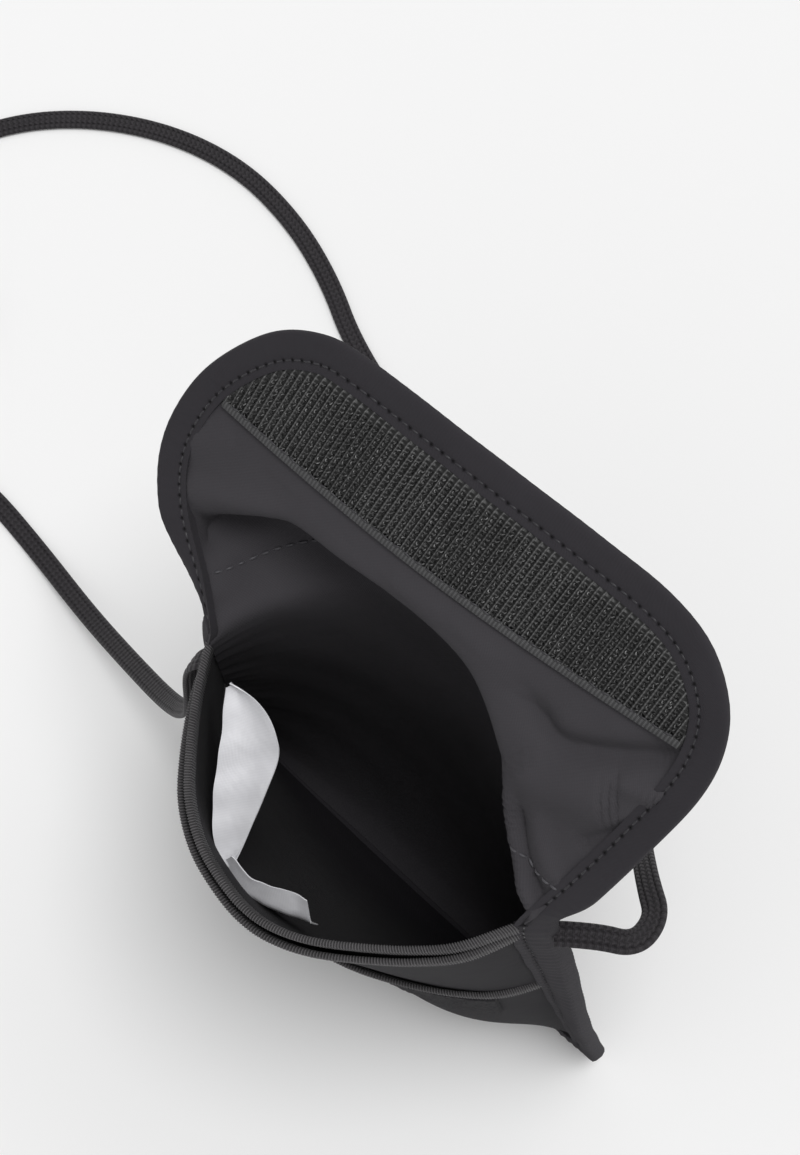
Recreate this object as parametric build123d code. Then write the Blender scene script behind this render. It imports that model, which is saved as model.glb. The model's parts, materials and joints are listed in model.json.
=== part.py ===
from build123d import *
import math
import os

# Neck pouch wallet: a flat fabric pouch with a wide flap, two pockets on its front
# and a neck cord. It stands open on its bottom seam, with the flap leaning back.
# Millimetres. The origin is at the middle of the bottom edge, +X along the mouth,
# +Y towards the back, +Z up. All the seams of the body lie in the plane y = 0.

# ---- body outline, measured over the edge binding --------------------------------
HALF_WIDTH = 74.5        # half the width at the bottom edge
MOUTH_PINCH = 18.6       # how far opening the mouth draws each of its corners in
BODY_HEIGHT = 144.0      # bottom edge to the mouth corners
CORNER_RADIUS = 13.0     # bottom corners
BINDING_WIDTH = 8.5      # self-fabric tape folded over every outer edge
BINDING_FABRIC = 0.6     # thickness of that tape on each face
BINDING_LIP = 1.0        # the tape's fold, past the raw edges that it covers

# ---- fabrics ----------------------------------------------------------------------
SHELL = 0.6              # woven shell fabric
LINING = 0.4             # lining fabric
SEAM_GAP = 0.3           # between a folded tape edge and the panel that bends away from it

# ---- front pockets ------------------------------------------------------------------
LAYER_STEP = 1.2         # from one front panel to the next, where they leave the side seam
SLIP_DROP = 5.0          # from the mouth's edge down to the slip pocket's edge
POCKET_DROP = 56.0       # the same for the lower pocket's edge
SLIP_LOOSENESS = 2.2     # how far the slip pocket stands off the front at its mouth
POCKET_LOOSENESS = 5.0   # the same for the lower pocket, if it were as tall as the body
EDGE_TAPE = 4.0          # ribbed tape folded over each pocket edge, height
EDGE_TAPE_FABRIC = 0.5   # its thickness on each face

# ---- flap -----------------------------------------------------------------------------
FLAP_LENGTH = 83.6       # fold line to the free edge, at the middle
FLAP_TRIM = 0.5          # how much narrower than the body it is on each side, at the fastener
FLAP_RADIUS = 31.0       # its free corners
FLAP_SHIFT = -11.4       # the flap leans to one side: its middle stands off the body's
FLAP_SKEW = 4.0          # degrees, the free edge's slope for the same reason
FLAP_RISE = 38.5         # degrees above level, as it leans back
FOLD_CLEARANCE = 1.6     # from the mouth's edge up to the fold line
ARCH_RISE = 22.0         # where the flap's flat part begins, up from the fold line
CUT_GAP = 0.3            # between the back panel's top edge and the fabric that bends above it
FOLD_GAP = 1.0           # between the flap's flat part and the fabric that bends under it

# ---- hook and loop fastener ---------------------------------------------------------------
TAPE_HEIGHT = 20.0
TAPE_THICKNESS = 1.2
HOOK_INSET = 10.0        # from the flap's side edges to the hook strip's ends
LOOP_LENGTH = 100.0
LOOP_GAP = 1.0           # from the lower pocket's edge tape down to the loop strip

# ---- threads ----------------------------------------------------------------------------------
THREAD = 0.5
THREAD_RISE = 0.25       # what stands proud of the fabric
STITCH_INSET = 6.5       # from the outer edge to the stitch line
LINING_SEAM = 15.0       # the lining's seam, up from the fold line along the flap

# ---- care label ---------------------------------------------------------------------------------
LABEL = 0.35
LABEL_DROP = 13.0        # from the mouth's edge down to the label
LABEL_HEIGHT = 26.0
LABEL_LEAVES = ((1.6, -14.0), (3.2, -6.0))  # each leaf's stand-off from the front, and its free end

# ---- neck cord -------------------------------------------------------------------------------------
CORD = 3.2               # round tube with nearly the section area of the flat 6 x 1.6 braid
CORD_LIE = CORD / 2
LEFT_ROUTE = (
    (-57.4, -0.4, 134.0),
    (-63.5, -2.0, 132.0),
    (-68.0, -8.0, 118.0),
    (-67.0, -12.0, 98.0),
    (-67.0, -12.0, 72.0),
    (-78.0, -10.0, 45.0),
    (-98.0, -9.5, 24.0),
    (-122.0, -7.0, 9.0),
    (-148.0, -3.0, CORD_LIE),
    (-174.0, 0.0, CORD_LIE),
    (-200.0, -2.0, CORD_LIE),
    (-229.8, -8.3, CORD_LIE),
)
RIGHT_ROUTE = (
    (57.2, -0.4, 136.0),
    (63.5, 4.0, 136.0),
    (70.0, 15.0, 134.5),
    (69.0, 28.0, 127.0),
    (58.0, 36.0, 115.0),
    (46.0, 43.0, 93.0),
    (35.0, 53.0, 60.0),
    (21.0, 65.0, 27.0),
    (-2.0, 77.0, 7.0),
    (-28.0, 85.0, CORD_LIE),
    (-62.0, 91.0, CORD_LIE),
    (-96.0, 99.0, CORD_LIE),
    (-124.0, 107.0, CORD_LIE),
    (-143.0, 117.0, CORD_LIE),
    (-165.0, 124.0, CORD_LIE),
    (-190.0, 126.0, CORD_LIE),
    (-215.0, 120.0, CORD_LIE),
    (-238.0, 107.0, CORD_LIE),
    (-256.0, 89.0, CORD_LIE),
    (-267.0, 66.0, CORD_LIE),
    (-271.0, 41.0, CORD_LIE),
    (-271.0, 15.5, CORD_LIE),
)
COIL_CENTRE = (-243.5, 15.5)
COIL_RADIUS = 27.5       # middle of the turns
COIL_WIDTH = 14.0
COIL_HEIGHT = 6.0
TIE_WIDTH = 6.0
TIE_WALL = 0.8
TIE_ANGLE = 35.0         # degrees round the coil
TIE_CLEARANCE = 0.1

# ---- worked out from the above --------------------------------------------------------------------
MOUTH_HALF = HALF_WIDTH - MOUTH_PINCH      # half the width at the mouth
FLAP_HALF_WIDTH = HALF_WIDTH - FLAP_TRIM
HOOK_LENGTH = 2 * (FLAP_HALF_WIDTH - HOOK_INSET)
FRONT_FINS = 3 * SHELL                # three front panels in the side seam
BACK_FINS = LINING + SHELL            # lining and back panel in the side seam
FRONT_STACK = 2 * LAYER_STEP + SHELL  # how far the front panels reach in from the seam line
BACK_STACK = LINING + SHELL
SEAM_HEIGHT = BINDING_WIDTH           # the bottom seam line
FOLD_HEIGHT = BODY_HEIGHT + FOLD_CLEARANCE
PANEL_TOP = BODY_HEIGHT - EDGE_TAPE_FABRIC
SLIP_TOP = BODY_HEIGHT - SLIP_DROP
POCKET_TOP = BODY_HEIGHT - POCKET_DROP
LABEL_TOP = BODY_HEIGHT - LABEL_DROP
HOOK_BOTTOM = FLAP_LENGTH - BINDING_WIDTH - TAPE_HEIGHT
LOOP_TOP = POCKET_TOP - EDGE_TAPE - LOOP_GAP
LOOP_BOTTOM = LOOP_TOP - TAPE_HEIGHT
LEVELS = sorted((
    SEAM_HEIGHT, 13.0, 20.0, 30.0, 44.0, LOOP_BOTTOM, LOOP_TOP,
    POCKET_TOP - EDGE_TAPE, POCKET_TOP - EDGE_TAPE_FABRIC, POCKET_TOP, 105.0, 122.0,
    SLIP_TOP - EDGE_TAPE, SLIP_TOP - EDGE_TAPE_FABRIC, SLIP_TOP,
    BODY_HEIGHT - EDGE_TAPE, PANEL_TOP, BODY_HEIGHT,
))
FRONT, BACK = -1, 1


def edge_x(z):
    """Half the body's width over the binding at height z."""
    return HALF_WIDTH + (MOUTH_HALF - HALF_WIDTH) * z / BODY_HEIGHT


def seam_x(z):
    """Half the width between the side seams at height z."""
    return edge_x(z) - BINDING_WIDTH


def bow(chord, length):
    """How deep fabric of that length bows when its ends are a chord apart."""
    length = max(length, chord * (1 + 1e-7))
    low, high = 1e-4, math.pi
    for _ in range(60):
        half_angle = (low + high) / 2
        if math.sin(half_angle) / half_angle > chord / length:
            low = half_angle
        else:
            high = half_angle
    return length / (2 * low) * (1 - math.cos(low))


def wall_depth(z):
    """How far a panel stands from the seam plane at height z, in the middle."""
    return bow(2 * seam_x(z), 2 * seam_x(SEAM_HEIGHT))


def section(z, end_x, end_y, depth, thickness, side):
    """A bowed strip of fabric cut level at height z."""
    inner = ThreePointArc(
        (-end_x, side * end_y, z), (0, side * depth, z), (end_x, side * end_y, z)
    )
    outer = ThreePointArc(
        (-end_x - thickness, side * end_y, z),
        (0, side * (depth + thickness), z),
        (end_x + thickness, side * end_y, z),
    )
    return make_face(inner + outer + Line(inner @ 0, outer @ 0) + Line(inner @ 1, outer @ 1))


class Layer:
    """One panel of the body: where it leaves the side seam and how far it stands out."""

    def __init__(self, side, reach, fin_y, thickness, looseness=0.0):
        self.side = side
        self.reach = reach
        self.fin_y = fin_y
        self.thickness = thickness
        self.looseness = looseness

    def end_x(self, z):
        return seam_x(z) - self.reach

    def depth(self, z):
        share = (z - SEAM_HEIGHT) / (BODY_HEIGHT - SEAM_HEIGHT)
        return self.fin_y + wall_depth(z) + self.looseness * share

    def band(self, bottom, top, inner=0.0, outer=None, end_y=None):
        """The stretch from bottom to top, from inner to outer off the panel's inner face."""
        outer = self.thickness if outer is None else outer
        end_y = self.fin_y if end_y is None else end_y
        heights = [z for z in LEVELS if bottom < z < top]
        return loft(
            [
                section(
                    z, self.end_x(z) + inner, end_y, self.depth(z) + inner, outer - inner, self.side
                )
                for z in [bottom, *heights, top]
            ],
            ruled=True,
        )

    def fin(self, top):
        """The panel's flat edge inside the side and bottom seams."""
        opening = make_face(
            Polyline(
                (-self.end_x(SEAM_HEIGHT), SEAM_HEIGHT),
                (self.end_x(SEAM_HEIGHT), SEAM_HEIGHT),
                (self.end_x(2 * BODY_HEIGHT), 2 * BODY_HEIGHT),
                (-self.end_x(2 * BODY_HEIGHT), 2 * BODY_HEIGHT),
                close=True,
            )
        )
        cover = Pos(0, top / 2) * Rectangle(4 * HALF_WIDTH, top)
        flat = (offset(body_outline(), -BINDING_LIP) & cover) - opening
        return plate(flat, self.side, self.fin_y, self.thickness)

    def panel(self, top, fin_top=None):
        return self.band(SEAM_HEIGHT, top) + self.fin(fin_top or top)


def plate(flat, side, near, thickness):
    """A flat shape drawn in the seam plane, as a plate from near outwards on that side."""
    start = near if side == FRONT else -(near + thickness)
    return Pos(0, -start, 0) * extrude(Plane.XZ * flat, thickness)


def body_outline():
    corners = [
        (-HALF_WIDTH, 0), (HALF_WIDTH, 0), (MOUTH_HALF, BODY_HEIGHT), (-MOUTH_HALF, BODY_HEIGHT)
    ]
    face = make_face(Polyline(*corners, close=True))
    return fillet(face.vertices().sort_by(Axis.Y)[:2], CORNER_RADIUS)


def seam_opening(gap):
    """The area inside the body's seam line, with its sides a gap out of it."""
    face = make_face(
        Polyline(
            (-seam_x(SEAM_HEIGHT) - gap, SEAM_HEIGHT - gap),
            (seam_x(SEAM_HEIGHT) + gap, SEAM_HEIGHT - gap),
            (seam_x(2 * BODY_HEIGHT) + gap, 2 * BODY_HEIGHT),
            (-seam_x(2 * BODY_HEIGHT) - gap, 2 * BODY_HEIGHT),
            close=True,
        )
    )
    return fillet(face.vertices().sort_by(Axis.Y)[:2], CORNER_RADIUS - BINDING_WIDTH)


def ring(outline, inset, width):
    """A band of that width inside an outline, its outer side at the inset."""
    return offset(outline, -inset) - offset(outline, -inset - width)


# ---- body panels ------------------------------------------------------------------------
lining_layer = Layer(BACK, BACK_STACK, 0.0, LINING)
back_layer = Layer(BACK, BACK_STACK - LINING, LINING, SHELL)
front_layer = Layer(FRONT, FRONT_STACK, 0.0, SHELL)
slip_layer = Layer(FRONT, FRONT_STACK - LAYER_STEP, SHELL, SHELL, SLIP_LOOSENESS)
pocket_layer = Layer(FRONT, FRONT_STACK - 2 * LAYER_STEP, 2 * SHELL, SHELL, POCKET_LOOSENESS)

FLANGE_FACE = FRONT_FINS + BINDING_FABRIC + SEAM_GAP  # just in front of the side binding


def edge_tape(layer, top):
    """Ribbed tape folded over a pocket's top edge, from one side binding to the other."""
    tape = layer.band(
        top - EDGE_TAPE, top, -EDGE_TAPE_FABRIC, layer.thickness + EDGE_TAPE_FABRIC, FLANGE_FACE
    )
    slot = layer.band(top - EDGE_TAPE, top - EDGE_TAPE_FABRIC)
    return tape - slot


nodes = {}
nodes["back_panel"] = back_layer.panel(BODY_HEIGHT)
nodes["back_lining"] = lining_layer.panel(BODY_HEIGHT)
nodes["front_panel"] = front_layer.panel(PANEL_TOP)
nodes["slip_pocket_panel"] = slip_layer.panel(SLIP_TOP - EDGE_TAPE_FABRIC)
nodes["front_pocket_panel"] = pocket_layer.panel(POCKET_TOP - EDGE_TAPE_FABRIC)
nodes["mouth_edge_tape"] = edge_tape(front_layer, BODY_HEIGHT)
nodes["slip_pocket_edge_tape"] = edge_tape(slip_layer, SLIP_TOP)
nodes["front_pocket_edge_tape"] = edge_tape(pocket_layer, POCKET_TOP)

# ---- loop strip, low on the outermost front panel -----------------------------------------
loop_band = pocket_layer.band(LOOP_BOTTOM, LOOP_TOP, SHELL, SHELL + TAPE_THICKNESS)
loop_cut = Pos(0, 0, BODY_HEIGHT / 2) * Box(LOOP_LENGTH, 4 * HALF_WIDTH, BODY_HEIGHT)
nodes["loop_strip"] = loop_band & loop_cut

# ---- body binding and its stitching ---------------------------------------------------------
binding_flat = body_outline() - seam_opening(SEAM_GAP)
binding_slab = plate(binding_flat, FRONT, 0, FRONT_FINS + BINDING_FABRIC) + plate(
    binding_flat, BACK, 0, BACK_FINS + BINDING_FABRIC
)
fin_flat = offset(body_outline(), -BINDING_LIP)
binding_slot = plate(fin_flat, FRONT, 0, FRONT_FINS) + plate(fin_flat, BACK, 0, BACK_FINS)
nodes["body_binding"] = binding_slab - binding_slot

stitch_flat = ring(body_outline(), STITCH_INSET, THREAD) & (
    Pos(0, BODY_HEIGHT / 2) * Rectangle(4 * HALF_WIDTH, BODY_HEIGHT - 4 * THREAD)
) - Pos(0, BODY_HEIGHT) * Rectangle(2 * MOUTH_HALF, 2 * (STITCH_INSET + THREAD) + THREAD)
nodes["body_stitching"] = Compound(
    children=[
        plate(stitch_flat, FRONT, FRONT_FINS + BINDING_FABRIC, THREAD_RISE),
        plate(stitch_flat, BACK, BACK_FINS + BINDING_FABRIC, THREAD_RISE),
    ]
)

# ---- flap -----------------------------------------------------------------------------------
FLAP_PLANE = Plane(
    origin=(0, 0, FOLD_HEIGHT),
    x_dir=(1, 0, 0),
    z_dir=(0, -math.sin(math.radians(FLAP_RISE)), math.cos(math.radians(FLAP_RISE))),
)
ABOVE_FOLD = Pos(0, FLAP_LENGTH) * Rectangle(6 * HALF_WIDTH, 2 * FLAP_LENGTH)


def skewed(along, up):
    """A point of the flap, along its free edge from the middle and up from the fold line."""
    turn = math.radians(FLAP_SKEW)
    rise = up - HOOK_BOTTOM
    x = FLAP_SHIFT + along * math.cos(turn) - rise * math.sin(turn)
    return (x, HOOK_BOTTOM + along * math.sin(turn) + rise * math.cos(turn))


def flap_outline():
    """The flap's edge: pinched at the fold line, square to the fastener, round at its corners."""
    shoulder = HOOK_BOTTOM - FLAP_RADIUS / 2
    points = [
        (-MOUTH_HALF, 0),
        skewed(-FLAP_HALF_WIDTH, shoulder),
        skewed(-FLAP_HALF_WIDTH, FLAP_LENGTH),
        skewed(FLAP_HALF_WIDTH, FLAP_LENGTH),
        skewed(FLAP_HALF_WIDTH, shoulder),
        (MOUTH_HALF, 0),
        (MOUTH_HALF, -MOUTH_HALF),
        (-MOUTH_HALF, -MOUTH_HALF),
    ]
    face = make_face(Polyline(*points, close=True))
    corners = [face.vertices().sort_by_distance(points[i])[0] for i in (2, 3)]
    face = fillet(corners, FLAP_RADIUS)
    straight_side = FLAP_LENGTH - FLAP_RADIUS - shoulder
    for foot, i in ((0, 1), (5, 4)):
        rise = Vector(*points[i]) - Vector(*points[foot])
        side = Vector(*skewed(0, FLAP_LENGTH)) - Vector(*skewed(0, 0))
        turn = math.radians(rise.get_angle(side))
        radius = min(FLAP_RADIUS, 0.9 * straight_side / math.tan(turn / 2))
        face = fillet(face.vertices().sort_by_distance(points[i])[0], radius)
    return face


def arch_half(up, inset=0.0):
    """Half the arch's width at a height up the flap, for an arch that much smaller."""
    foot = MOUTH_HALF - BINDING_WIDTH
    radius = (foot**2 + ARCH_RISE**2) / (2 * ARCH_RISE)
    return math.sqrt((radius - inset) ** 2 - (radius - ARCH_RISE + up) ** 2)


def arch_line(up, inset=0.0):
    """The arch's curve, from one side to the other, with its feet at a height up the flap."""
    half = arch_half(up, inset)
    return ThreePointArc((-half, up), (0, ARCH_RISE - inset), (half, up))


def under_arch():
    """The area under the flap's flat part, where its fabric bends down to the back panel."""
    crown = arch_line(0)
    below = Polyline(crown @ 0, (-MOUTH_HALF, -MOUTH_HALF), (MOUTH_HALF, -MOUTH_HALF), crown @ 1)
    return make_face(crown + below)


def flap_plate(flat, near, far):
    """A flat shape of the flap as a plate, from near to far off the seam between its layers."""
    return extrude(FLAP_PLANE.offset(near) * flat, far - near)


flap_edge = flap_outline()
flap_inside = (offset(flap_edge, -BINDING_LIP) & ABOVE_FOLD) - under_arch()
nodes["flap_panel"] = flap_plate(flap_inside, -SHELL, 0)
nodes["flap_lining"] = flap_plate(flap_inside, 0, LINING)
flap_tape = ring(flap_edge, 0, BINDING_WIDTH) & ABOVE_FOLD
nodes["flap_binding"] = flap_plate(
    flap_tape, -SHELL - BINDING_FABRIC, LINING + BINDING_FABRIC
) - flap_plate(offset(flap_edge, -BINDING_LIP), -SHELL, LINING)
flap_thread = ring(flap_edge, STITCH_INSET, THREAD) & ABOVE_FOLD
nodes["flap_stitching"] = Compound(
    children=[
        flap_plate(
            flap_thread, LINING + BINDING_FABRIC, LINING + BINDING_FABRIC + THREAD_RISE
        ),
        flap_plate(
            flap_thread, -SHELL - BINDING_FABRIC - THREAD_RISE, -SHELL - BINDING_FABRIC
        ),
    ]
)

# ---- the seam that ends the pouch's lining, across the foot of the flap ----------------------------
seam_line = Pos(0, LINING_SEAM) * Rectangle(4 * HALF_WIDTH, THREAD)
seam_clear = offset(flap_edge, -BINDING_WIDTH - SEAM_GAP) & flap_inside
nodes["lining_seam_stitching"] = flap_plate(seam_line & seam_clear, LINING, LINING + THREAD_RISE)

# ---- hook strip and its stitching, inside the flap's free edge ------------------------------------
hook_middle = skewed(0, HOOK_BOTTOM + TAPE_HEIGHT / 2)
hook_flat = (
    Pos(*hook_middle) * Rot(0, 0, FLAP_SKEW) * Rectangle(HOOK_LENGTH, TAPE_HEIGHT)
) & offset(flap_edge, -BINDING_WIDTH - SEAM_GAP)
nodes["hook_strip"] = flap_plate(hook_flat, LINING, LINING + TAPE_THICKNESS)
hook_thread = ring(hook_flat, THREAD, THREAD)
nodes["hook_strip_stitching"] = flap_plate(
    hook_thread, LINING + TAPE_THICKNESS, LINING + TAPE_THICKNESS + THREAD_RISE
)

# ---- the fabric that bends between the back and the flap --------------------------------------------
fold_end = BACK_FINS + BINDING_FABRIC + SEAM_GAP
fold_depth = lining_layer.depth(BODY_HEIGHT)
fold_bottom = section(
    BODY_HEIGHT + CUT_GAP,
    lining_layer.end_x(BODY_HEIGHT),
    fold_end,
    fold_depth,
    BACK_FINS,
    BACK,
)


fold_curves = [arch_line(2 * FOLD_CLEARANCE, inset) for inset in (FOLD_GAP, FOLD_GAP + BACK_FINS)]
fold_sides = [Line(fold_curves[0] @ end, fold_curves[1] @ end) for end in (0, 1)]
fold_top = FLAP_PLANE * make_face(Curve() + fold_curves + fold_sides)
nodes["flap_fold"] = loft([fold_bottom, fold_top], ruled=True)

# ---- care label, sewn in the left side seam ---------------------------------------------------------------
for number, (stand_off, free_end) in enumerate(LABEL_LEAVES, start=1):
    leaf_levels = [LABEL_TOP - LABEL_HEIGHT, LABEL_TOP]
    leaf = loft(
        [
            section(
                z,
                front_layer.end_x(z) - SEAM_GAP - number * LABEL - (number - 1) * SEAM_GAP,
                SEAM_GAP,
                front_layer.depth(z) - stand_off,
                LABEL,
                FRONT,
            )
            for z in leaf_levels
        ],
        ruled=True,
    )
    keep = Pos(free_end - HALF_WIDTH, 0, BODY_HEIGHT / 2) * Box(
        2 * HALF_WIDTH, 4 * HALF_WIDTH, 2 * BODY_HEIGHT
    )
    nodes[f"care_label_leaf_{number}"] = leaf & keep


# ---- neck cord -----------------------------------------------------------------------------------------
def cord_tube(name, route):
    """A tube of straight runs and tangent arcs, each arc as large as its two runs allow."""
    points = [Vector(*p) for p in route]
    radii = []
    for a, b, c in zip(points, points[1:], points[2:]):
        turn = math.radians((b - a).get_angle(c - b))
        radii.append(0.45 * min((b - a).length, (c - b).length) / math.tan(turn / 2))
    path = FilletPolyline(*points, radius=radii)
    start = Plane(origin=points[0], z_dir=points[1] - points[0])
    tube = sweep(start * Circle(CORD / 2), path=path)
    area = math.pi * CORD**2 / 4
    print(name, "length", round(path.length, 1), "radii", [round(r, 1) for r in radii])
    print(name, "volume over section x length", round(tube.volume / (area * path.length), 4))
    return tube


nodes["cord_left"] = cord_tube("cord_left", LEFT_ROUTE)
nodes["cord_right"] = cord_tube("cord_right", RIGHT_ROUTE)

def round_coil(flat):
    """A shape drawn across the coil's turns, centred on them and swept once round."""
    middle = Pos(COIL_RADIUS, 0, TIE_WALL + TIE_CLEARANCE + COIL_HEIGHT / 2)
    return Pos(*COIL_CENTRE) * revolve(middle * (Plane.XZ * flat), Axis.Z)


coil_flat = RectangleRounded(COIL_WIDTH, COIL_HEIGHT, COIL_HEIGHT / 2 - TIE_CLEARANCE)
nodes["cord_coil"] = round_coil(coil_flat)
tie_flat = offset(coil_flat, TIE_CLEARANCE + TIE_WALL)
tie_block = Pos(*COIL_CENTRE) * Rot(0, 0, TIE_ANGLE) * Pos(COIL_RADIUS, 0, 0) * Box(
    2 * COIL_WIDTH, TIE_WIDTH, 4 * COIL_HEIGHT
)
nodes["coil_tie"] = (round_coil(tie_flat) & tie_block) - round_coil(offset(coil_flat, TIE_CLEARANCE))

os.makedirs("parts", exist_ok=True)
for name, shape in nodes.items():
    export_step(shape, f"parts/{name}.step")
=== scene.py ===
"""A fabric neck pouch that stands open: its cloth, bindings, fastener, label, stitching and neck cord."""

import json
import logging
import math
from dataclasses import dataclass, field
from enum import Enum
from typing import Sequence

import bpy
import numpy as np
from mathutils import Matrix, Vector

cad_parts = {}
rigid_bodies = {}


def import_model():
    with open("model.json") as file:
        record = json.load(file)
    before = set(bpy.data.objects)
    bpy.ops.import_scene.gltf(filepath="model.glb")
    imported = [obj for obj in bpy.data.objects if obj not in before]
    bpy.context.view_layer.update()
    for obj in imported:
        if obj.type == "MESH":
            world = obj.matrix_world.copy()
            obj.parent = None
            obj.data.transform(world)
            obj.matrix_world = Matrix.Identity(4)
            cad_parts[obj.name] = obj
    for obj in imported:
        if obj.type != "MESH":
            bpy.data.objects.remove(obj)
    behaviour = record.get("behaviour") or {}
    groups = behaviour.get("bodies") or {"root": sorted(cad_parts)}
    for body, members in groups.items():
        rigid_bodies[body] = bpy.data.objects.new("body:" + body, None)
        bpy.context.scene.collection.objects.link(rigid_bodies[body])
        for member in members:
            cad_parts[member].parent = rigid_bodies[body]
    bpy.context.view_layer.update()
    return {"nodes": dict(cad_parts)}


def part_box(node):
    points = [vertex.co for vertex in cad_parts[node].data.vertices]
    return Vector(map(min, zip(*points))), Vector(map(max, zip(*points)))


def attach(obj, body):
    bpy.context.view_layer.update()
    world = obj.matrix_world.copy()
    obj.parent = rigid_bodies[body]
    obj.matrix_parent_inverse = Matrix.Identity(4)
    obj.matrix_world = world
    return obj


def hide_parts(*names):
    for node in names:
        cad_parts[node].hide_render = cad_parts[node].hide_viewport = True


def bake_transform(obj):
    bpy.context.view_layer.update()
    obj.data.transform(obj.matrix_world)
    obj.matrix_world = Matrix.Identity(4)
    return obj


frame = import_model()

MM = 0.001
CLOTH_UV = "Cloth"
STITCH_PITCH = 3.0
BEND_BELOW = 1.5
HOOK_COLUMN_PITCH = 1.72
HOOK_ROW_PITCH = 0.98
STRIP_FIRST_RIB = -75.0
log = logging.getLogger("pouch")


# ---- arithmetic on shader sockets ------------------------------------------------------------


class Wire:
    """A shader socket that takes part in Python arithmetic."""

    def __init__(self, recipe: "Recipe", socket: bpy.types.NodeSocket) -> None:
        """Keep the socket and the recipe that it belongs to."""
        self.recipe = recipe
        self.socket = socket

    def _join(self, operation: str, first: "Wire | float", second: "Wire | float") -> "Wire":
        """Add one Math node."""
        return self.recipe.node("ShaderNodeMath", {"operation": operation}, {0: first, 1: second})

    def __add__(self, other: "Wire | float") -> "Wire":
        """Sum."""
        return self._join("ADD", self, other)

    __radd__ = __add__

    def __sub__(self, other: "Wire | float") -> "Wire":
        """Difference."""
        return self._join("SUBTRACT", self, other)

    def __rsub__(self, other: float) -> "Wire":
        """Difference, with the number first."""
        return self._join("SUBTRACT", other, self)

    def __mul__(self, other: "Wire | float") -> "Wire":
        """Product."""
        return self._join("MULTIPLY", self, other)

    __rmul__ = __mul__

    def __truediv__(self, other: "Wire | float") -> "Wire":
        """Quotient."""
        return self._join("DIVIDE", self, other)

    def wave(self) -> "Wire":
        """Sine of this value."""
        return self._join("SINE", self, 0.0)

    def ridges(self, pitch: float) -> "Wire":
        """Ridges from nought to one, a pitch apart."""
        return (self * (2 * math.pi / pitch)).wave() * 0.5 + 0.5

    def size(self) -> "Wire":
        """This value without its sign."""
        return self._join("ABSOLUTE", self, 0.0)

    def most(self, other: "Wire | float") -> "Wire":
        """The larger of the two."""
        return self._join("MAXIMUM", self, other)

    def power(self, times: float) -> "Wire":
        """This value raised to a power."""
        return self._join("POWER", self, times)


class Recipe:
    """A material in the making."""

    def __init__(self, name: str) -> None:
        """Start an empty node tree.

        Args:
            name: the material's name.
        """
        self.material = bpy.data.materials.new(name)
        self.material.use_nodes = True
        self.tree = self.material.node_tree
        self.tree.nodes.clear()

    def node(
        self, kind: str, settings: dict[str, object], inputs: dict[int | str, object], output: int | str = 0
    ) -> Wire:
        """Add a node.

        Args:
            kind: the node's type.
            settings: its own settings, which are made first.
            inputs: a value or a wire for each socket, by its name or number.
            output: the socket that the node gives.

        Returns:
            The wire from that socket.
        """
        node = self.tree.nodes.new(kind)
        for key, value in settings.items():
            setattr(node, key, value)
        for key, value in inputs.items():
            if isinstance(value, Wire):
                self.tree.links.new(value.socket, node.inputs[key])
            else:
                node.inputs[key].default_value = value
        return Wire(self, node.outputs[output])

    def split(self, vector: Wire) -> tuple[Wire, Wire, Wire]:
        """The three numbers of a vector."""
        node = self.tree.nodes.new("ShaderNodeSeparateXYZ")
        self.tree.links.new(vector.socket, node.inputs[0])
        return Wire(self, node.outputs[0]), Wire(self, node.outputs[1]), Wire(self, node.outputs[2])

    def across_cloth(self) -> tuple[Wire, Wire]:
        """Where a point lies on the flat cloth, in millimetres across and along."""
        uv = self.node("ShaderNodeUVMap", {"uv_map": CLOTH_UV}, {})
        across, along, _ = self.split(uv)
        return across / MM, along / MM

    def noise(self, size: float, detail: float = 2.0) -> Wire:
        """Soft noise round the middle value a half, with blots of that size in millimetres."""
        place = self.node("ShaderNodeTexCoord", {}, {}, "Object")
        return self.node(
            "ShaderNodeTexNoise", {}, {"Vector": place, "Scale": 1 / (size * MM), "Detail": detail}
        )

    def blend(self, share: Wire, first: Sequence[float], second: Sequence[float]) -> Wire:
        """A colour between two colours."""
        return self.node(
            "ShaderNodeMix", {"data_type": "RGBA"}, {0: share, 6: (*first, 1.0), 7: (*second, 1.0)}, 2
        )

    def finish(
        self,
        colour: Wire,
        roughness: Wire | float,
        height: Wire,
        depth: float,
        **constants: float,
    ) -> bpy.types.Material:
        """Close the material.

        Args:
            colour: the base colour.
            roughness: the roughness.
            height: the relief, from about nought to one.
            depth: how deep that relief is, in millimetres.
            **constants: more sockets of the shader, with underscores for spaces.

        Returns:
            The finished material.
        """
        bump = {"Strength": 1.0, "Distance": depth * MM, "Height": height}
        relief = self.node("ShaderNodeBump", {}, bump)
        sockets = {name.replace("_", " "): value for name, value in constants.items()}
        shader = self.node(
            "ShaderNodeBsdfPrincipled",
            {},
            {"Base Color": colour, "Roughness": roughness, "Normal": relief, **sockets},
        )
        out = self.tree.nodes.new("ShaderNodeOutputMaterial")
        self.tree.links.new(shader.socket, out.inputs["Surface"])
        return self.material


# ---- finishes ------------------------------------------------------------------------------------


@dataclass(frozen=True)
class TwoTone:
    """What every finish of the pouch has: a name, a dark colour and a light one."""

    name: str
    dark: tuple[float, float, float]
    light: tuple[float, float, float]


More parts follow.
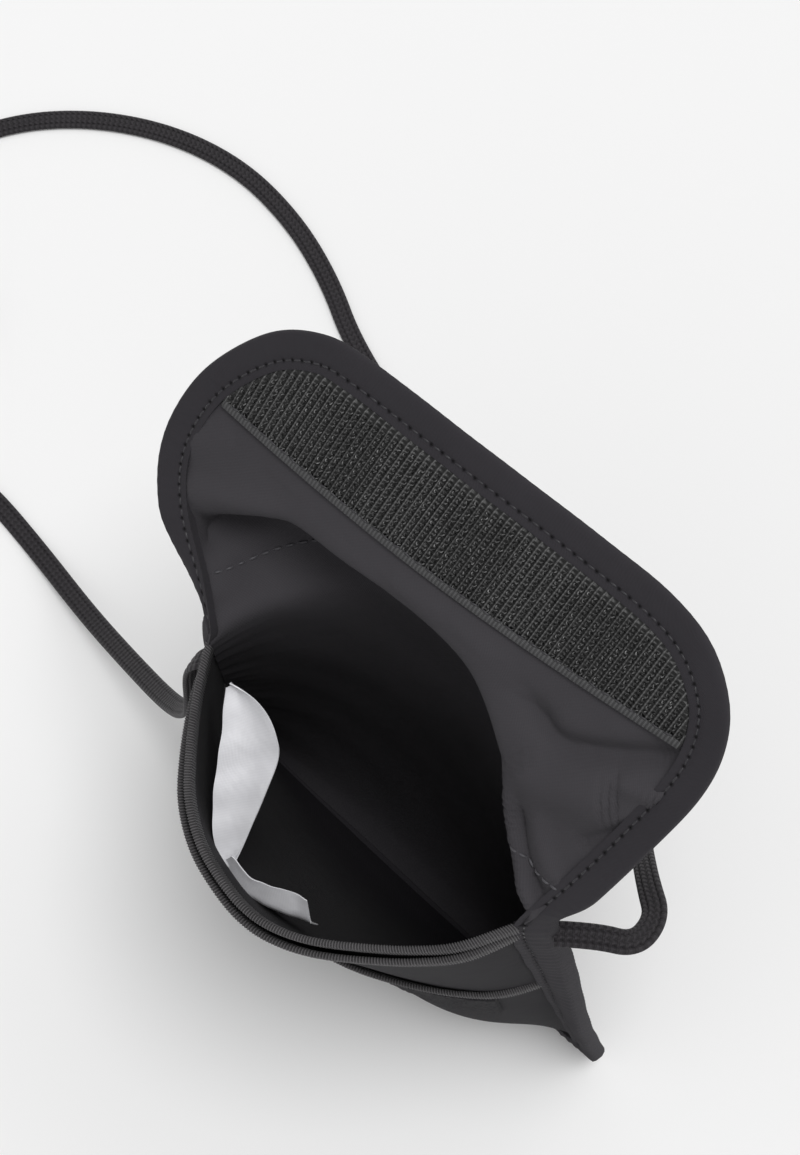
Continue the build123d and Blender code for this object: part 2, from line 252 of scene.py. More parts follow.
@dataclass(frozen=True)
class WovenCloth(TwoTone):
    """Fine twill with faint unevenness."""

    thread: float = 0.42
    rough: float = 0.85
    relief: float = 0.05
    sheen: float = 0.03
    gloss: float = 0.12

    def material(self) -> bpy.types.Material:
        """Make the material."""
        r = Recipe(self.name)
        across, along = r.across_cloth()
        ribs = (across + along).ridges(self.thread)
        yarns = (across - along).ridges(2 * self.thread)
        weave = ribs * 0.7 + yarns * 0.3
        blots = r.noise(22.0, 3.0)
        creases = r.noise(6.5, 4.0)
        share = weave * 0.35 + blots * 0.65
        rough = blots * 0.14 + (self.rough - 0.07)
        height = weave * self.relief + creases * 0.28 + blots * 0.5
        return r.finish(
            r.blend(share, self.dark, self.light), rough, height, 1.0,
            Sheen_Weight=self.sheen, Sheen_Roughness=0.5, Specular_IOR_Level=self.gloss,
        )


@dataclass(frozen=True)
class SewnBinding(WovenCloth):
    """The same twill as a binding, with needle dents along its stitch lines that are painted black as shade.
    """

    pitch: float = STITCH_PITCH
    line: float = 7.5
    hole: float = 0.62

    def material(self) -> bpy.types.Material:
        """Make the material."""
        r = Recipe(self.name)
        across, along = r.across_cloth()
        ribs = (across + along).ridges(self.thread)
        blots = r.noise(18.0, 3.0)
        near = (1 - (across.size() - self.line).size() / self.hole).most(0.0)
        beat = ((along * (math.pi / self.pitch) + math.pi / 2).wave().size()).power(9.0)
        # Painted shade: the stitch dents are mixed to black in the colour; the same mask also sinks them in
        # the relief.
        holes = near * beat
        share = ribs * 0.35 + blots * 0.65
        cloth = r.blend(share, self.dark, self.light)
        colour = r.node("ShaderNodeMix", {"data_type": "RGBA"}, {0: holes, 6: cloth, 7: (0, 0, 0, 1)}, 2)
        creases = r.noise(5.0, 3.0)
        height = ribs * self.relief + creases * 0.22 + blots * 0.4 - near * 0.12 - holes * 0.5
        return r.finish(
            colour, blots * 0.14 + (self.rough - 0.07), height, 1.0,
            Sheen_Weight=self.sheen, Sheen_Roughness=0.5, Specular_IOR_Level=self.gloss,
        )


@dataclass(frozen=True)
class RibbedTape(TwoTone):
    """Grosgrain tape: its ribs are in the mesh, and its fine threads in the relief; its colour is painted
    darker in the grooves and paler on the crests, as shade and highlight.
    """

    rib: float = 0.65

    def material(self) -> bpy.types.Material:
        """Make the material."""
        r = Recipe(self.name)
        across, along = r.across_cloth()
        ribs = across.ridges(self.rib)
        threads = along.ridges(0.3)
        blots = r.noise(9.0)
        # Painted shade and highlight: the colour follows the ribs, dark in the grooves and pale on the crests.
        share = ribs * 0.55 + threads * 0.15 + blots * 0.3
        return r.finish(
            r.blend(share, self.dark, self.light), blots * 0.2 + 0.55, ribs * 0.12 + threads * 0.04, 1.0,
            Sheen_Weight=0.04, Sheen_Roughness=0.5, Specular_IOR_Level=0.25,
        )


@dataclass(frozen=True)
class Braid(TwoTone):
    """Braided cord: plaited yarns in rows that run along it."""

    plait: float = 1.7

    def material(self) -> bpy.types.Material:
        """Make the material."""
        r = Recipe(self.name)
        across, along = r.across_cloth()
        side = (across * math.pi).wave().size()
        plaits = ((along * (2 * math.pi / self.plait)) + side * 2.2).wave() * 0.5 + 0.5
        yarns = (along * (2 * math.pi / 0.42) + side * 3.0).wave() * 0.5 + 0.5
        blots = r.noise(14.0)
        share = plaits * 0.45 + yarns * 0.2 + blots * 0.35
        return r.finish(
            r.blend(share, self.dark, self.light), blots * 0.15 + 0.5,
            plaits * 0.22 + yarns * 0.05 + side * 0.1, 1.0,
            Sheen_Weight=0.05, Sheen_Roughness=0.5, Specular_IOR_Level=0.25,
        )


@dataclass(frozen=True)
class Yarn(TwoTone):
    """Twisted sewing thread."""

    def material(self) -> bpy.types.Material:
        """Make the material."""
        r = Recipe(self.name)
        blots = r.noise(1.1, 1.0)
        return r.finish(
            r.blend(blots, self.dark, self.light), blots * 0.2 + 0.4, blots, 0.06,
            Sheen_Weight=0.2, Sheen_Roughness=0.4,
        )


@dataclass(frozen=True)
class MouldedPlastic(TwoTone):
    """Moulded plastic, for the hooks: black, with sparse pale blots painted on as glints."""

    rough: float = 0.28

    def material(self) -> bpy.types.Material:
        """Make the material."""
        r = Recipe(self.name)
        blots = r.noise(1.0, 1.0)
        # Painted highlight: sparse pale blots on the black plastic stand in for glints on the hooks.
        share = blots.power(3.0) * 2.2
        return r.finish(
            r.blend(share, self.dark, self.light), blots * 0.2 + self.rough, blots, 0.02,
            Specular_IOR_Level=0.6,
        )


@dataclass(frozen=True)
class Satin(TwoTone):
    """White woven satin."""

    def material(self) -> bpy.types.Material:
        """Make the material."""
        r = Recipe(self.name)
        across, along = r.across_cloth()
        threads = across.ridges(0.35)
        picks = along.ridges(0.7)
        blots = r.noise(12.0)
        share = threads * 0.25 + picks * 0.15 + blots * 0.6
        return r.finish(
            r.blend(share, self.dark, self.light), blots * 0.2 + 0.3, threads * 0.02 + r.noise(7.0) * 0.5, 1.0,
            Sheen_Weight=0.15, Sheen_Roughness=0.3,
        )


@dataclass(frozen=True)
class HookGround(TwoTone):
    """The woven ground of the hook tape, with a painted highlight on the raised rib between its columns of
    hooks.
    """

    pitch: float = HOOK_COLUMN_PITCH

    def material(self) -> bpy.types.Material:
        """Make the material."""
        r = Recipe(self.name)
        across, along = r.across_cloth()
        rib = ((across * (2 * math.pi / self.pitch) + math.pi / 2).wave() * 0.5 + 0.5).power(12.0)
        knots = along.ridges(HOOK_ROW_PITCH)
        blots = r.noise(4.0)
        # Painted highlight: the pale colour sits on the crest of the raised rib of the black tape.
        share = rib * (knots * 0.35 + 0.65) * (blots * 0.5 + 0.7)
        return r.finish(
            r.blend(share, self.dark, self.light), 0.45, knots * 0.15 + rib * 0.1, 1.0,
            Specular_IOR_Level=0.5,
        )


@dataclass(frozen=True)
class LoopPile(TwoTone):
    """Brushed loops."""

    def material(self) -> bpy.types.Material:
        """Make the material."""
        r = Recipe(self.name)
        fuzz = r.noise(0.7, 4.0)
        return r.finish(
            r.blend(fuzz, self.dark, self.light), fuzz * 0.1 + 0.85, fuzz, 0.5,
            Sheen_Weight=0.05, Sheen_Roughness=0.6, Specular_IOR_Level=0.1,
        )


@dataclass(frozen=True)
class Paper:
    """The pale, even floor."""

    name: str
    shade: float = 0.90

    def material(self) -> bpy.types.Material:
        """Make the material."""
        r = Recipe(self.name)
        grain = r.noise(3.0)
        tone = (self.shade, self.shade, self.shade)
        return r.finish(r.blend(grain, tone, tone), 0.9, grain, 0.001, Specular_IOR_Level=0.0)


class Finish(Enum):
    """What the pouch is made of."""

    # Painted shade: the outer twill is darkened well below the binding, which is the same fabric, because the
    # front wall stands in shade.
    OUTER = WovenCloth("Outer twill", (0.0115, 0.0106, 0.0126), (0.0215, 0.0200, 0.0234))
    LINING = WovenCloth("Lining twill", (0.0430, 0.0405, 0.0455), (0.0640, 0.0608, 0.0670), thread=0.5)
    BINDING = SewnBinding("Binding twill", (0.0285, 0.0265, 0.0305), (0.0440, 0.0412, 0.0470))
    # The ribbed tapes run from their dark colour in the grooves to their light one on the rib crests: painted
    # shade and highlight.
    TAPE = RibbedTape("Ribbed tape", (0.008, 0.0076, 0.008), (0.150, 0.144, 0.150))
    SELVEDGE = RibbedTape("Hook tape selvedge", (0.020, 0.020, 0.021), (0.115, 0.115, 0.118), rib=0.9)
    CORD = Braid("Cord braid", (0.0085, 0.0075, 0.0085), (0.038, 0.034, 0.039))
    THREAD = Yarn("Sewing thread", (0.016, 0.015, 0.018), (0.040, 0.038, 0.044))
    PALE_THREAD = Yarn("Seam thread", (0.045, 0.043, 0.050), (0.090, 0.087, 0.098))
    # The light colours of the hooks and of the hook tape ground are painted highlights; both are black.
    HOOKS = MouldedPlastic("Hooks", (0.003, 0.003, 0.003), (0.260, 0.260, 0.260))
    HOOK_BASE = HookGround("Hook tape ground", (0.0015, 0.0015, 0.0015), (0.105, 0.105, 0.105))
    LOOPS = LoopPile("Loop pile", (0.010, 0.0095, 0.011), (0.026, 0.0245, 0.028))
    LABEL = Satin("Label satin", (0.70, 0.70, 0.735), (0.86, 0.86, 0.885))
    ELASTIC = Yarn("Tie elastic", (0.010, 0.010, 0.011), (0.026, 0.026, 0.028))
    FLOOR = Paper("Floor")

    def material(self) -> bpy.types.Material:
        """The one material of this finish."""
        made = bpy.data.materials.get(self.value.name)
        return made or self.value.material()


# ---- mesh tools -----------------------------------------------------------------------------------


def clear_selection() -> None:
    """Leave nothing selected and nothing active."""
    if bpy.context.object and bpy.context.object.mode != "OBJECT":
        bpy.ops.object.mode_set(mode="OBJECT")
    for obj in bpy.context.view_layer.objects:
        if not obj.hide_viewport:
            obj.select_set(False)
    bpy.context.view_layer.objects.active = None


def choose(obj: bpy.types.Object) -> None:
    """Make one object the only one selected, and active."""
    clear_selection()
    obj.select_set(True)
    bpy.context.view_layer.objects.active = obj


def coordinates(obj: bpy.types.Object) -> np.ndarray:
    """A mesh's points, in metres."""
    flat = np.empty(len(obj.data.vertices) * 3)
    obj.data.vertices.foreach_get("co", flat)
    return flat.reshape(-1, 3)


def place_points(obj: bpy.types.Object, points: np.ndarray) -> None:
    """Move a mesh's points, given in metres."""
    obj.data.vertices.foreach_set("co", np.asarray(points, float).ravel())
    obj.data.update()


def dress(obj: bpy.types.Object, finish: Finish) -> bpy.types.Object:
    """Give a piece its finish.

    Args:
        obj: the piece.
        finish: what it is made of.

    Returns:
        The same piece.
    """
    obj.data.materials.clear()
    obj.data.materials.append(finish.material())
    return obj


def fit(
    piece: bpy.types.Object, finish: Finish, nodes: Sequence[str] = (), body: str = "pouch"
) -> bpy.types.Object:
    """Dress a piece, and put it in its place on the model.

    Args:
        piece: the piece.
        finish: what it is made of.
        nodes: the model's nodes that it stands for.
        body: the body that it moves with.

    Returns:
        The same piece.
    """
    dress(piece, finish)
    if nodes:
        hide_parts(*nodes)
    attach(piece, body)
    log.info("%s: %d faces", piece.name, len(piece.data.polygons))
    return piece


def laid_grid(
    name: str, points: np.ndarray, flat: np.ndarray, close_round: bool = False
) -> bpy.types.Object:
    """A grid primitive whose points are laid on a surface.

    Args:
        name: the piece's name.
        points: the surface's points in millimetres, rows by columns by three.
        flat: where each point is on the flat cloth, in millimetres, rows by columns by two.
        close_round: whether the last column meets the first.

    Returns:
        The laid mesh, with its cloth map.
    """
    rows, columns = points.shape[:2]
    clear_selection()
    bpy.ops.mesh.primitive_grid_add(x_subdivisions=columns - 1, y_subdivisions=rows - 1, size=1)
    obj = bpy.context.object
    obj.name = name
    obj.data.name = name
    rest = coordinates(obj)
    column = np.rint((rest[:, 0] + 0.5) * (columns - 1)).astype(int)
    row = np.rint((rest[:, 1] + 0.5) * (rows - 1)).astype(int)
    layer = obj.data.uv_layers[0] if obj.data.uv_layers else obj.data.uv_layers.new()
    layer.name = CLOTH_UV
    corner = np.empty(len(obj.data.loops), int)
    obj.data.loops.foreach_get("vertex_index", corner)
    layer.data.foreach_set("uv", (flat[row[corner], column[corner]] * MM).ravel())
    place_points(obj, points[row, column] * MM)
    if close_round:
        choose(obj)
        bpy.ops.object.mode_set(mode="EDIT")
        bpy.ops.mesh.select_all(action="SELECT")
        bpy.ops.mesh.remove_doubles(threshold=0.01 * MM)
        bpy.ops.object.mode_set(mode="OBJECT")
    return obj


def apply_modifier(obj: bpy.types.Object, kind: str, **settings: object) -> None:
    """Add a modifier and apply it."""
    choose(obj)
    modifier = obj.modifiers.new(kind, kind)
    for key, value in settings.items():
        setattr(modifier, key, value)
    bpy.ops.object.modifier_apply(modifier=modifier.name)


def turn_outwards(obj: bpy.types.Object) -> None:
    """Point a closed mesh's faces outwards."""
    choose(obj)
    bpy.ops.object.mode_set(mode="EDIT")
    bpy.ops.mesh.select_all(action="SELECT")
    bpy.ops.mesh.normals_make_consistent(inside=False)
    bpy.ops.object.mode_set(mode="OBJECT")


def smooth(obj: bpy.types.Object, angle: float = 50.0) -> None:
    """Shade a mesh smooth, but for edges sharper than the angle in degrees."""
    choose(obj)
    bpy.ops.object.shade_smooth_by_angle(angle=math.radians(angle))


def thicken(obj: bpy.types.Object, thickness: float) -> bpy.types.Object:
    """Give a laid sheet its thickness in millimetres, half on each side."""
    apply_modifier(obj, "SOLIDIFY", thickness=thickness * MM, offset=0.0, use_rim=True)
    turn_outwards(obj)
    smooth(obj)
    return obj


def close_ends(obj: bpy.types.Object) -> None:
    """Cap the open ends of a tube."""
    choose(obj)
    bpy.ops.object.mode_set(mode="EDIT")
    bpy.ops.mesh.select_all(action="DESELECT")
    bpy.ops.mesh.select_mode(type="EDGE")
    bpy.ops.mesh.select_non_manifold(extend=False)
    bpy.ops.mesh.edge_face_add()
    bpy.ops.mesh.select_mode(type="VERT")
    bpy.ops.object.mode_set(mode="OBJECT")


def unit(vectors: np.ndarray) -> np.ndarray:
    """Vectors of length one."""
    return vectors / np.maximum(np.linalg.norm(vectors, axis=-1, keepdims=True), 1e-12)


def normals_of(grid: np.ndarray) -> np.ndarray:
    """The normals of a grid of points: across its columns, turned towards up its rows."""
    across = np.gradient(grid, axis=1)
    up = np.gradient(grid, axis=0)
    return unit(np.cross(across, up))


def soften(grid: np.ndarray, share: np.ndarray, times: int) -> np.ndarray:
    """Smooth a grid of points, with its border held.

    Args:
        grid: the points.
        share: how much each point gives way, from nought to one, rows by columns.
        times: how often.

    Returns:
        The smoother grid.
    """
    out = grid.copy()
    for _ in range(times):
        mean = (out[:-2, 1:-1] + out[2:, 1:-1] + out[1:-1, :-2] + out[1:-1, 2:]) / 4
        out[1:-1, 1:-1] += (mean - out[1:-1, 1:-1]) * share[1:-1, 1:-1, None]
    return out


def spaced(line: np.ndarray, step: float) -> np.ndarray:
    """A line's points again, evenly about a step apart."""
    along = np.concatenate([[0], np.cumsum(np.linalg.norm(np.diff(line, axis=0), axis=1))])
    at = np.linspace(0, along[-1], max(3, int(round(along[-1] / step)) + 1))
    return np.stack([np.interp(at, along, line[:, k]) for k in range(line.shape[1])], axis=1)


def through(points: Sequence[Sequence[float]], steps: int = 14) -> np.ndarray:
    """A smooth line through given points."""
    p = np.array(points, float)
    p = np.vstack([2 * p[0] - p[1], p, 2 * p[-1] - p[-2]])
    t = np.linspace(0, 1, steps, endpoint=False)[:, None]
    spans = [
        0.5 * (
            2 * b + (c - a) * t + (2 * a - 5 * b + 4 * c - d) * t**2 + (3 * b - a - 3 * c + d) * t**3
        )
        for a, b, c, d in zip(p, p[1:], p[2:], p[3:])
    ]
    return np.vstack([*spans, p[-2]])


def ease(x: np.ndarray | float, start: float, end: float) -> np.ndarray | float:
    """Nought before start, one after end, and smooth between them."""
    t = np.clip((np.asarray(x, float) - start) / (end - start), 0, 1)
    return t * t * (3 - 2 * t)


def scatter(
    name: str, master: bpy.types.Object, origins: np.ndarray, along: np.ndarray, out: np.ndarray,
    stretch: np.ndarray | None = None,
) -> bpy.types.Object:
    """Many copies of one small piece, as one mesh.

    Args:
        name: the new mesh's name.
        master: the piece, which points along X with Z outwards, in millimetres. It is removed.
        origins: each copy's place in millimetres.
        along: each copy's direction along.
        out: each copy's direction outwards.
        stretch: each copy's length, as a share of the master's.

    Returns:
        The mesh of all the copies.
    """
    base = coordinates(master)
    faces = [tuple(f.vertices) for f in master.data.polygons]
    x = unit(along)
    z = unit(out - (out * x).sum(1, keepdims=True) * x)
    y = np.cross(z, x)
    long = np.ones(len(origins)) if stretch is None else stretch
    points = (
        origins[:, None]
        + x[:, None] * base[None, :, :1] * long[:, None, None]
        + y[:, None] * base[None, :, 1:2]
        + z[:, None] * base[None, :, 2:]
    )
    mesh = bpy.data.meshes.new(name)
    every = [tuple(i + k * len(base) for i in f) for k in range(len(origins)) for f in faces]
    mesh.from_pydata((points.reshape(-1, 3) * MM).tolist(), [], every)
    bpy.data.objects.remove(master)
    obj = bpy.data.objects.new(name, mesh)
    bpy.context.scene.collection.objects.link(obj)
    smooth(obj, 60)
    return obj


# ---- the pouch's form -------------------------------------------------------------------------------


class Side(Enum):
    """The two walls of the pouch."""

    FRONT = -1
    BACK = 1


@dataclass
class PouchForm:
    """Where the cloth of the open pouch lies, in millimetres."""

    half_width: float = 74.5
    height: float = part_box("body_binding")[1].z / MM
    mouth_half: float = 55.9
    binding: float = 8.5
    corner_radius: float = 13.0
    fold_height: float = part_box("body_binding")[1].z / MM + 1.6
    flap_rise: float = 38.5
    roll_radius: float = 14.0
    fin_sweep: float = 6.0
    flare: float = 6.0
    flare_foot: float = 84.0
    flap_bow: float = 3.5
    bow_rise: tuple[float, float] = (20.0, 46.0)
    bow_fall: tuple[float, float] = (52.0, 84.0)
    bow_middle: float = -11.0
    bow_half: float = 66.0
    nose_half: float = 47.4
    nose_depth: float = 39.1
    nose_rise: tuple[float, float] = (20.0, 120.0)
    nose_share: float = 0.9
    flap_edge: tuple[tuple[float, float], ...] = (
        (-55.9, 0.0), (-62.3, 6.7), (-74.2, 17.7), (-81.5, 29.0), (-83.9, 42.0), (-81.6, 56.0),
        (-73.4, 71.0), (-63.0, 79.0), (-51.0, 81.8), (-19.0, 83.7), (15.0, 85.7), (33.0, 86.0),
        (45.5, 83.0), (55.5, 75.5), (60.8, 66.0), (62.6, 54.0), (61.2, 37.0), (59.0, 19.6), (55.9, 0.0),
    )
    nose: tuple[tuple[float, float], ...] = (
        (-47.4, 0.0), (-40.7, -11.3), (-32.4, -22.7), (-25.5, -30.4), (-16.5, -36.2), (-6.0, -39.2),
        (2.0, -39.8), (9.0, -38.2), (16.5, -34.3), (25.5, -27.3), (34.0, -19.8), (41.0, -12.0), (47.4, 0.0),
    )
    crest: tuple[tuple[float, float], ...] = (
        (-80.0, 20.0), (-66.0, 26.0), (-46.0, 38.5), (-24.0, 41.0), (-6.0, 42.5), (4.0, 42.5),
        (21.0, 29.0), (33.0, 17.0), (42.0, 9.0), (49.0, 0.0),
    )

    def edge_x(self, z: np.ndarray | float) -> np.ndarray | float:
        """Half the body's width over its binding at a height."""
        return self.half_width + (self.mouth_half - self.half_width) * z / self.height

    def seam_x(self, z: np.ndarray | float) -> np.ndarray | float:
        """Half the width between the side seams at a height."""
        return self.edge_x(z) - self.binding

    def wall(self, s: np.ndarray, z: np.ndarray, side: Side, out: np.ndarray | float = 0.0) -> np.ndarray:
        """Points of a wall that bows between the side seams.

        Args:
            s: from -1 at the left seam to 1 at the right one.
            z: height.
            side: the front or the back wall.
            out: distance outwards.

        Returns:
            The points, with a last axis of three.
        """
        chord = 2 * self.seam_x(z)
        length = 2 * self.seam_x(self.binding)
        share = np.minimum(chord / length, 1 - 1e-6)
        low = np.full_like(share, 1e-4)
        high = np.full_like(share, math.pi)
        for _ in range(40):
            middle = (low + high) / 2
            wide = np.sin(middle) / middle > share
            low = np.where(wide, middle, low)
            high = np.where(wide, high, middle)
        radius = length / (2 * low)
        reach = radius + out
        x = reach * np.sin(s * low)
        y = side.value * (reach * np.cos(s * low) - radius * np.cos(low))
        z = np.broadcast_to(z, x.shape)
        if side is Side.BACK:
            y = y + self.flare * (1 - s**4) * ease(z, self.flare_foot, self.height) ** 2
        else:
            line = through(self.nose)
            flat_line = at_share(line, (s + 1) / 2)
            share_in = ease(z, *self.nose_rise) * self.nose_share
            scale = chord / 2 / self.nose_half
            deep = radius * (1 - np.cos(low)) / self.nose_depth
            away = (reach - radius) / radius
            x = x + (flat_line[..., 0] * scale * (1 + away) - x) * share_in
            y = y + (flat_line[..., 1] * deep * (1 + away) - y) * share_in
        return np.stack([x, y, z], axis=-1)

    def lean(self, up: np.ndarray) -> tuple[np.ndarray, np.ndarray, np.ndarray]:
        """The side edges' rise from the upright seams into the leaning flap.

        Args:
            up: distance above the fold line, along the cloth.

        Returns:
            y, z and the angle from upright in radians.
        """
        full = math.radians(90 - self.flap_rise)
        run = self.roll_radius * math.tan(full / 2)
        turn = np.clip((up + run) / (2 * run), 0, 1) * full
        y = self.roll_radius * (1 - np.cos(turn))
        z = self.roll_radius * np.sin(turn) - run
        below = np.minimum(up + run, 0)
        above = np.maximum(up - run, 0)
        return y + above * math.sin(full), z + below + above * math.cos(full) + self.fold_height, turn

    def card(self, x: np.ndarray, up: np.ndarray, proud: np.ndarray | float = 0.0) -> np.ndarray:
        """A point of the edge's own surface, which is flat but for the roll at the fold line.

        Args:
            x: across.
            up: above the fold line, along the cloth.
            proud: distance towards the lining's side.

        Returns:
            The point.
        """
        y, z, turn = self.lean(up)
        bow = self.flap_bow * ease(up, *self.bow_rise) * (1 - ease(up, *self.bow_fall)) * self.middle(x)
        lift = proud + bow
        return np.stack(
            [x * np.ones_like(y), y - lift * np.cos(turn), z + lift * np.sin(turn)], axis=-1
        )

    def card_normal(self, up: np.ndarray) -> np.ndarray:
        """The edge surface's normal on the lining's side."""
        _, _, turn = self.lean(up)
        return np.stack([np.zeros_like(turn), -np.cos(turn), np.sin(turn)], axis=-1)

    def middle(self, x: np.ndarray) -> np.ndarray:
        """One at the flap's middle, falling to nought at its side edges."""
        return np.clip(1 - ((x - self.bow_middle) / self.bow_half) ** 2, 0, 1)

    def outline(self) -> np.ndarray:
        """The flap's outer edge, from its left foot to its right one."""
        return spaced(through(self.flap_edge), 1.0)

    def inner_outline(self, inset: float) -> np.ndarray:
        """The flap's edge moved in by an inset."""
        line = self.outline()
        along = unit(np.gradient(line, axis=0))
        inwards = np.stack([along[:, 1], -along[:, 0]], axis=1)
        return line + inwards * inset


@dataclass
class Cloth:
    """A grid of points on the middle of a cloth, with its flat places and its outward normals."""

    points: np.ndarray
    flat: np.ndarray
    normals: np.ndarray = field(init=False)

    def __post_init__(self) -> None:
        """Work out the normals."""
        self.normals = normals_of(self.points)

    def offset(self, out: np.ndarray | float) -> np.ndarray:
        """The points moved along the normals."""
        return self.points + self.normals * np.asarray(out)[..., None]


# ---- back and flap -----------------------------------------------------------------------------------


@dataclass(frozen=True)
class Fold:
    """A soft fold in the flap's lining: a line on the flat cloth, a height and a width."""

    line: tuple[tuple[float, float], ...]
    height: float
    width: float

    def relief(self, across: np.ndarray, up: np.ndarray) -> np.ndarray:
        """How far the fold lifts each point of the cloth."""
        line = spaced(through(self.line), 1.5)
        away = np.hypot(across[..., None] - line[:, 0], up[..., None] - line[:, 1])
        near = away.min(axis=-1)
        at = away.argmin(axis=-1) / (len(line) - 1)
        taper = np.clip(np.minimum(at, 1 - at) * 6, 0, 1)
        return self.height * np.exp(-((near / self.width) ** 2)) * (0.25 + 0.75 * taper)


FLAP_FOLDS = (
    Fold(((-74, 16), (-64, 19.5), (-55, 22.5), (-47, 25.5), (-38, 28)), -6.0, 4.2),
    Fold(((-72, 28), (-66, 31), (-56, 36), (-47, 40.5)), 1.2, 3.0),
    Fold(((56, 61), (49, 54.3), (41.7, 48.6), (35, 44.4), (30, 43.4), (25, 45.4), (19, 47)), -3.2, 3.0),
    Fold(((50, 42), (42, 37), (33, 33), (26, 35)), 3.6, 6.5),
    Fold(((28, 27), (34, 19), (39, 14), (44, 9.5), (49, 5)), 2.2, 2.0),
    Fold(((32, 25), (38, 17.5), (43.5, 12.8), (50, 9.4)), -2.4, 1.9),
    Fold(((36, 28), (43, 20), (51, 15)), 1.4, 2.4),
    Fold(((-80, 32), (-74, 40), (-66, 46)), 1.0, 4.0),
    Fold(((-20, 47), (-4, 49), (14, 49)), 1.2, 4.0),
    Fold(((58, 40), (52, 34), (48, 26)), -1.6, 2.2),
    Fold(((60, 50), (53, 47), (46, 46)), 1.4, 2.2),
)


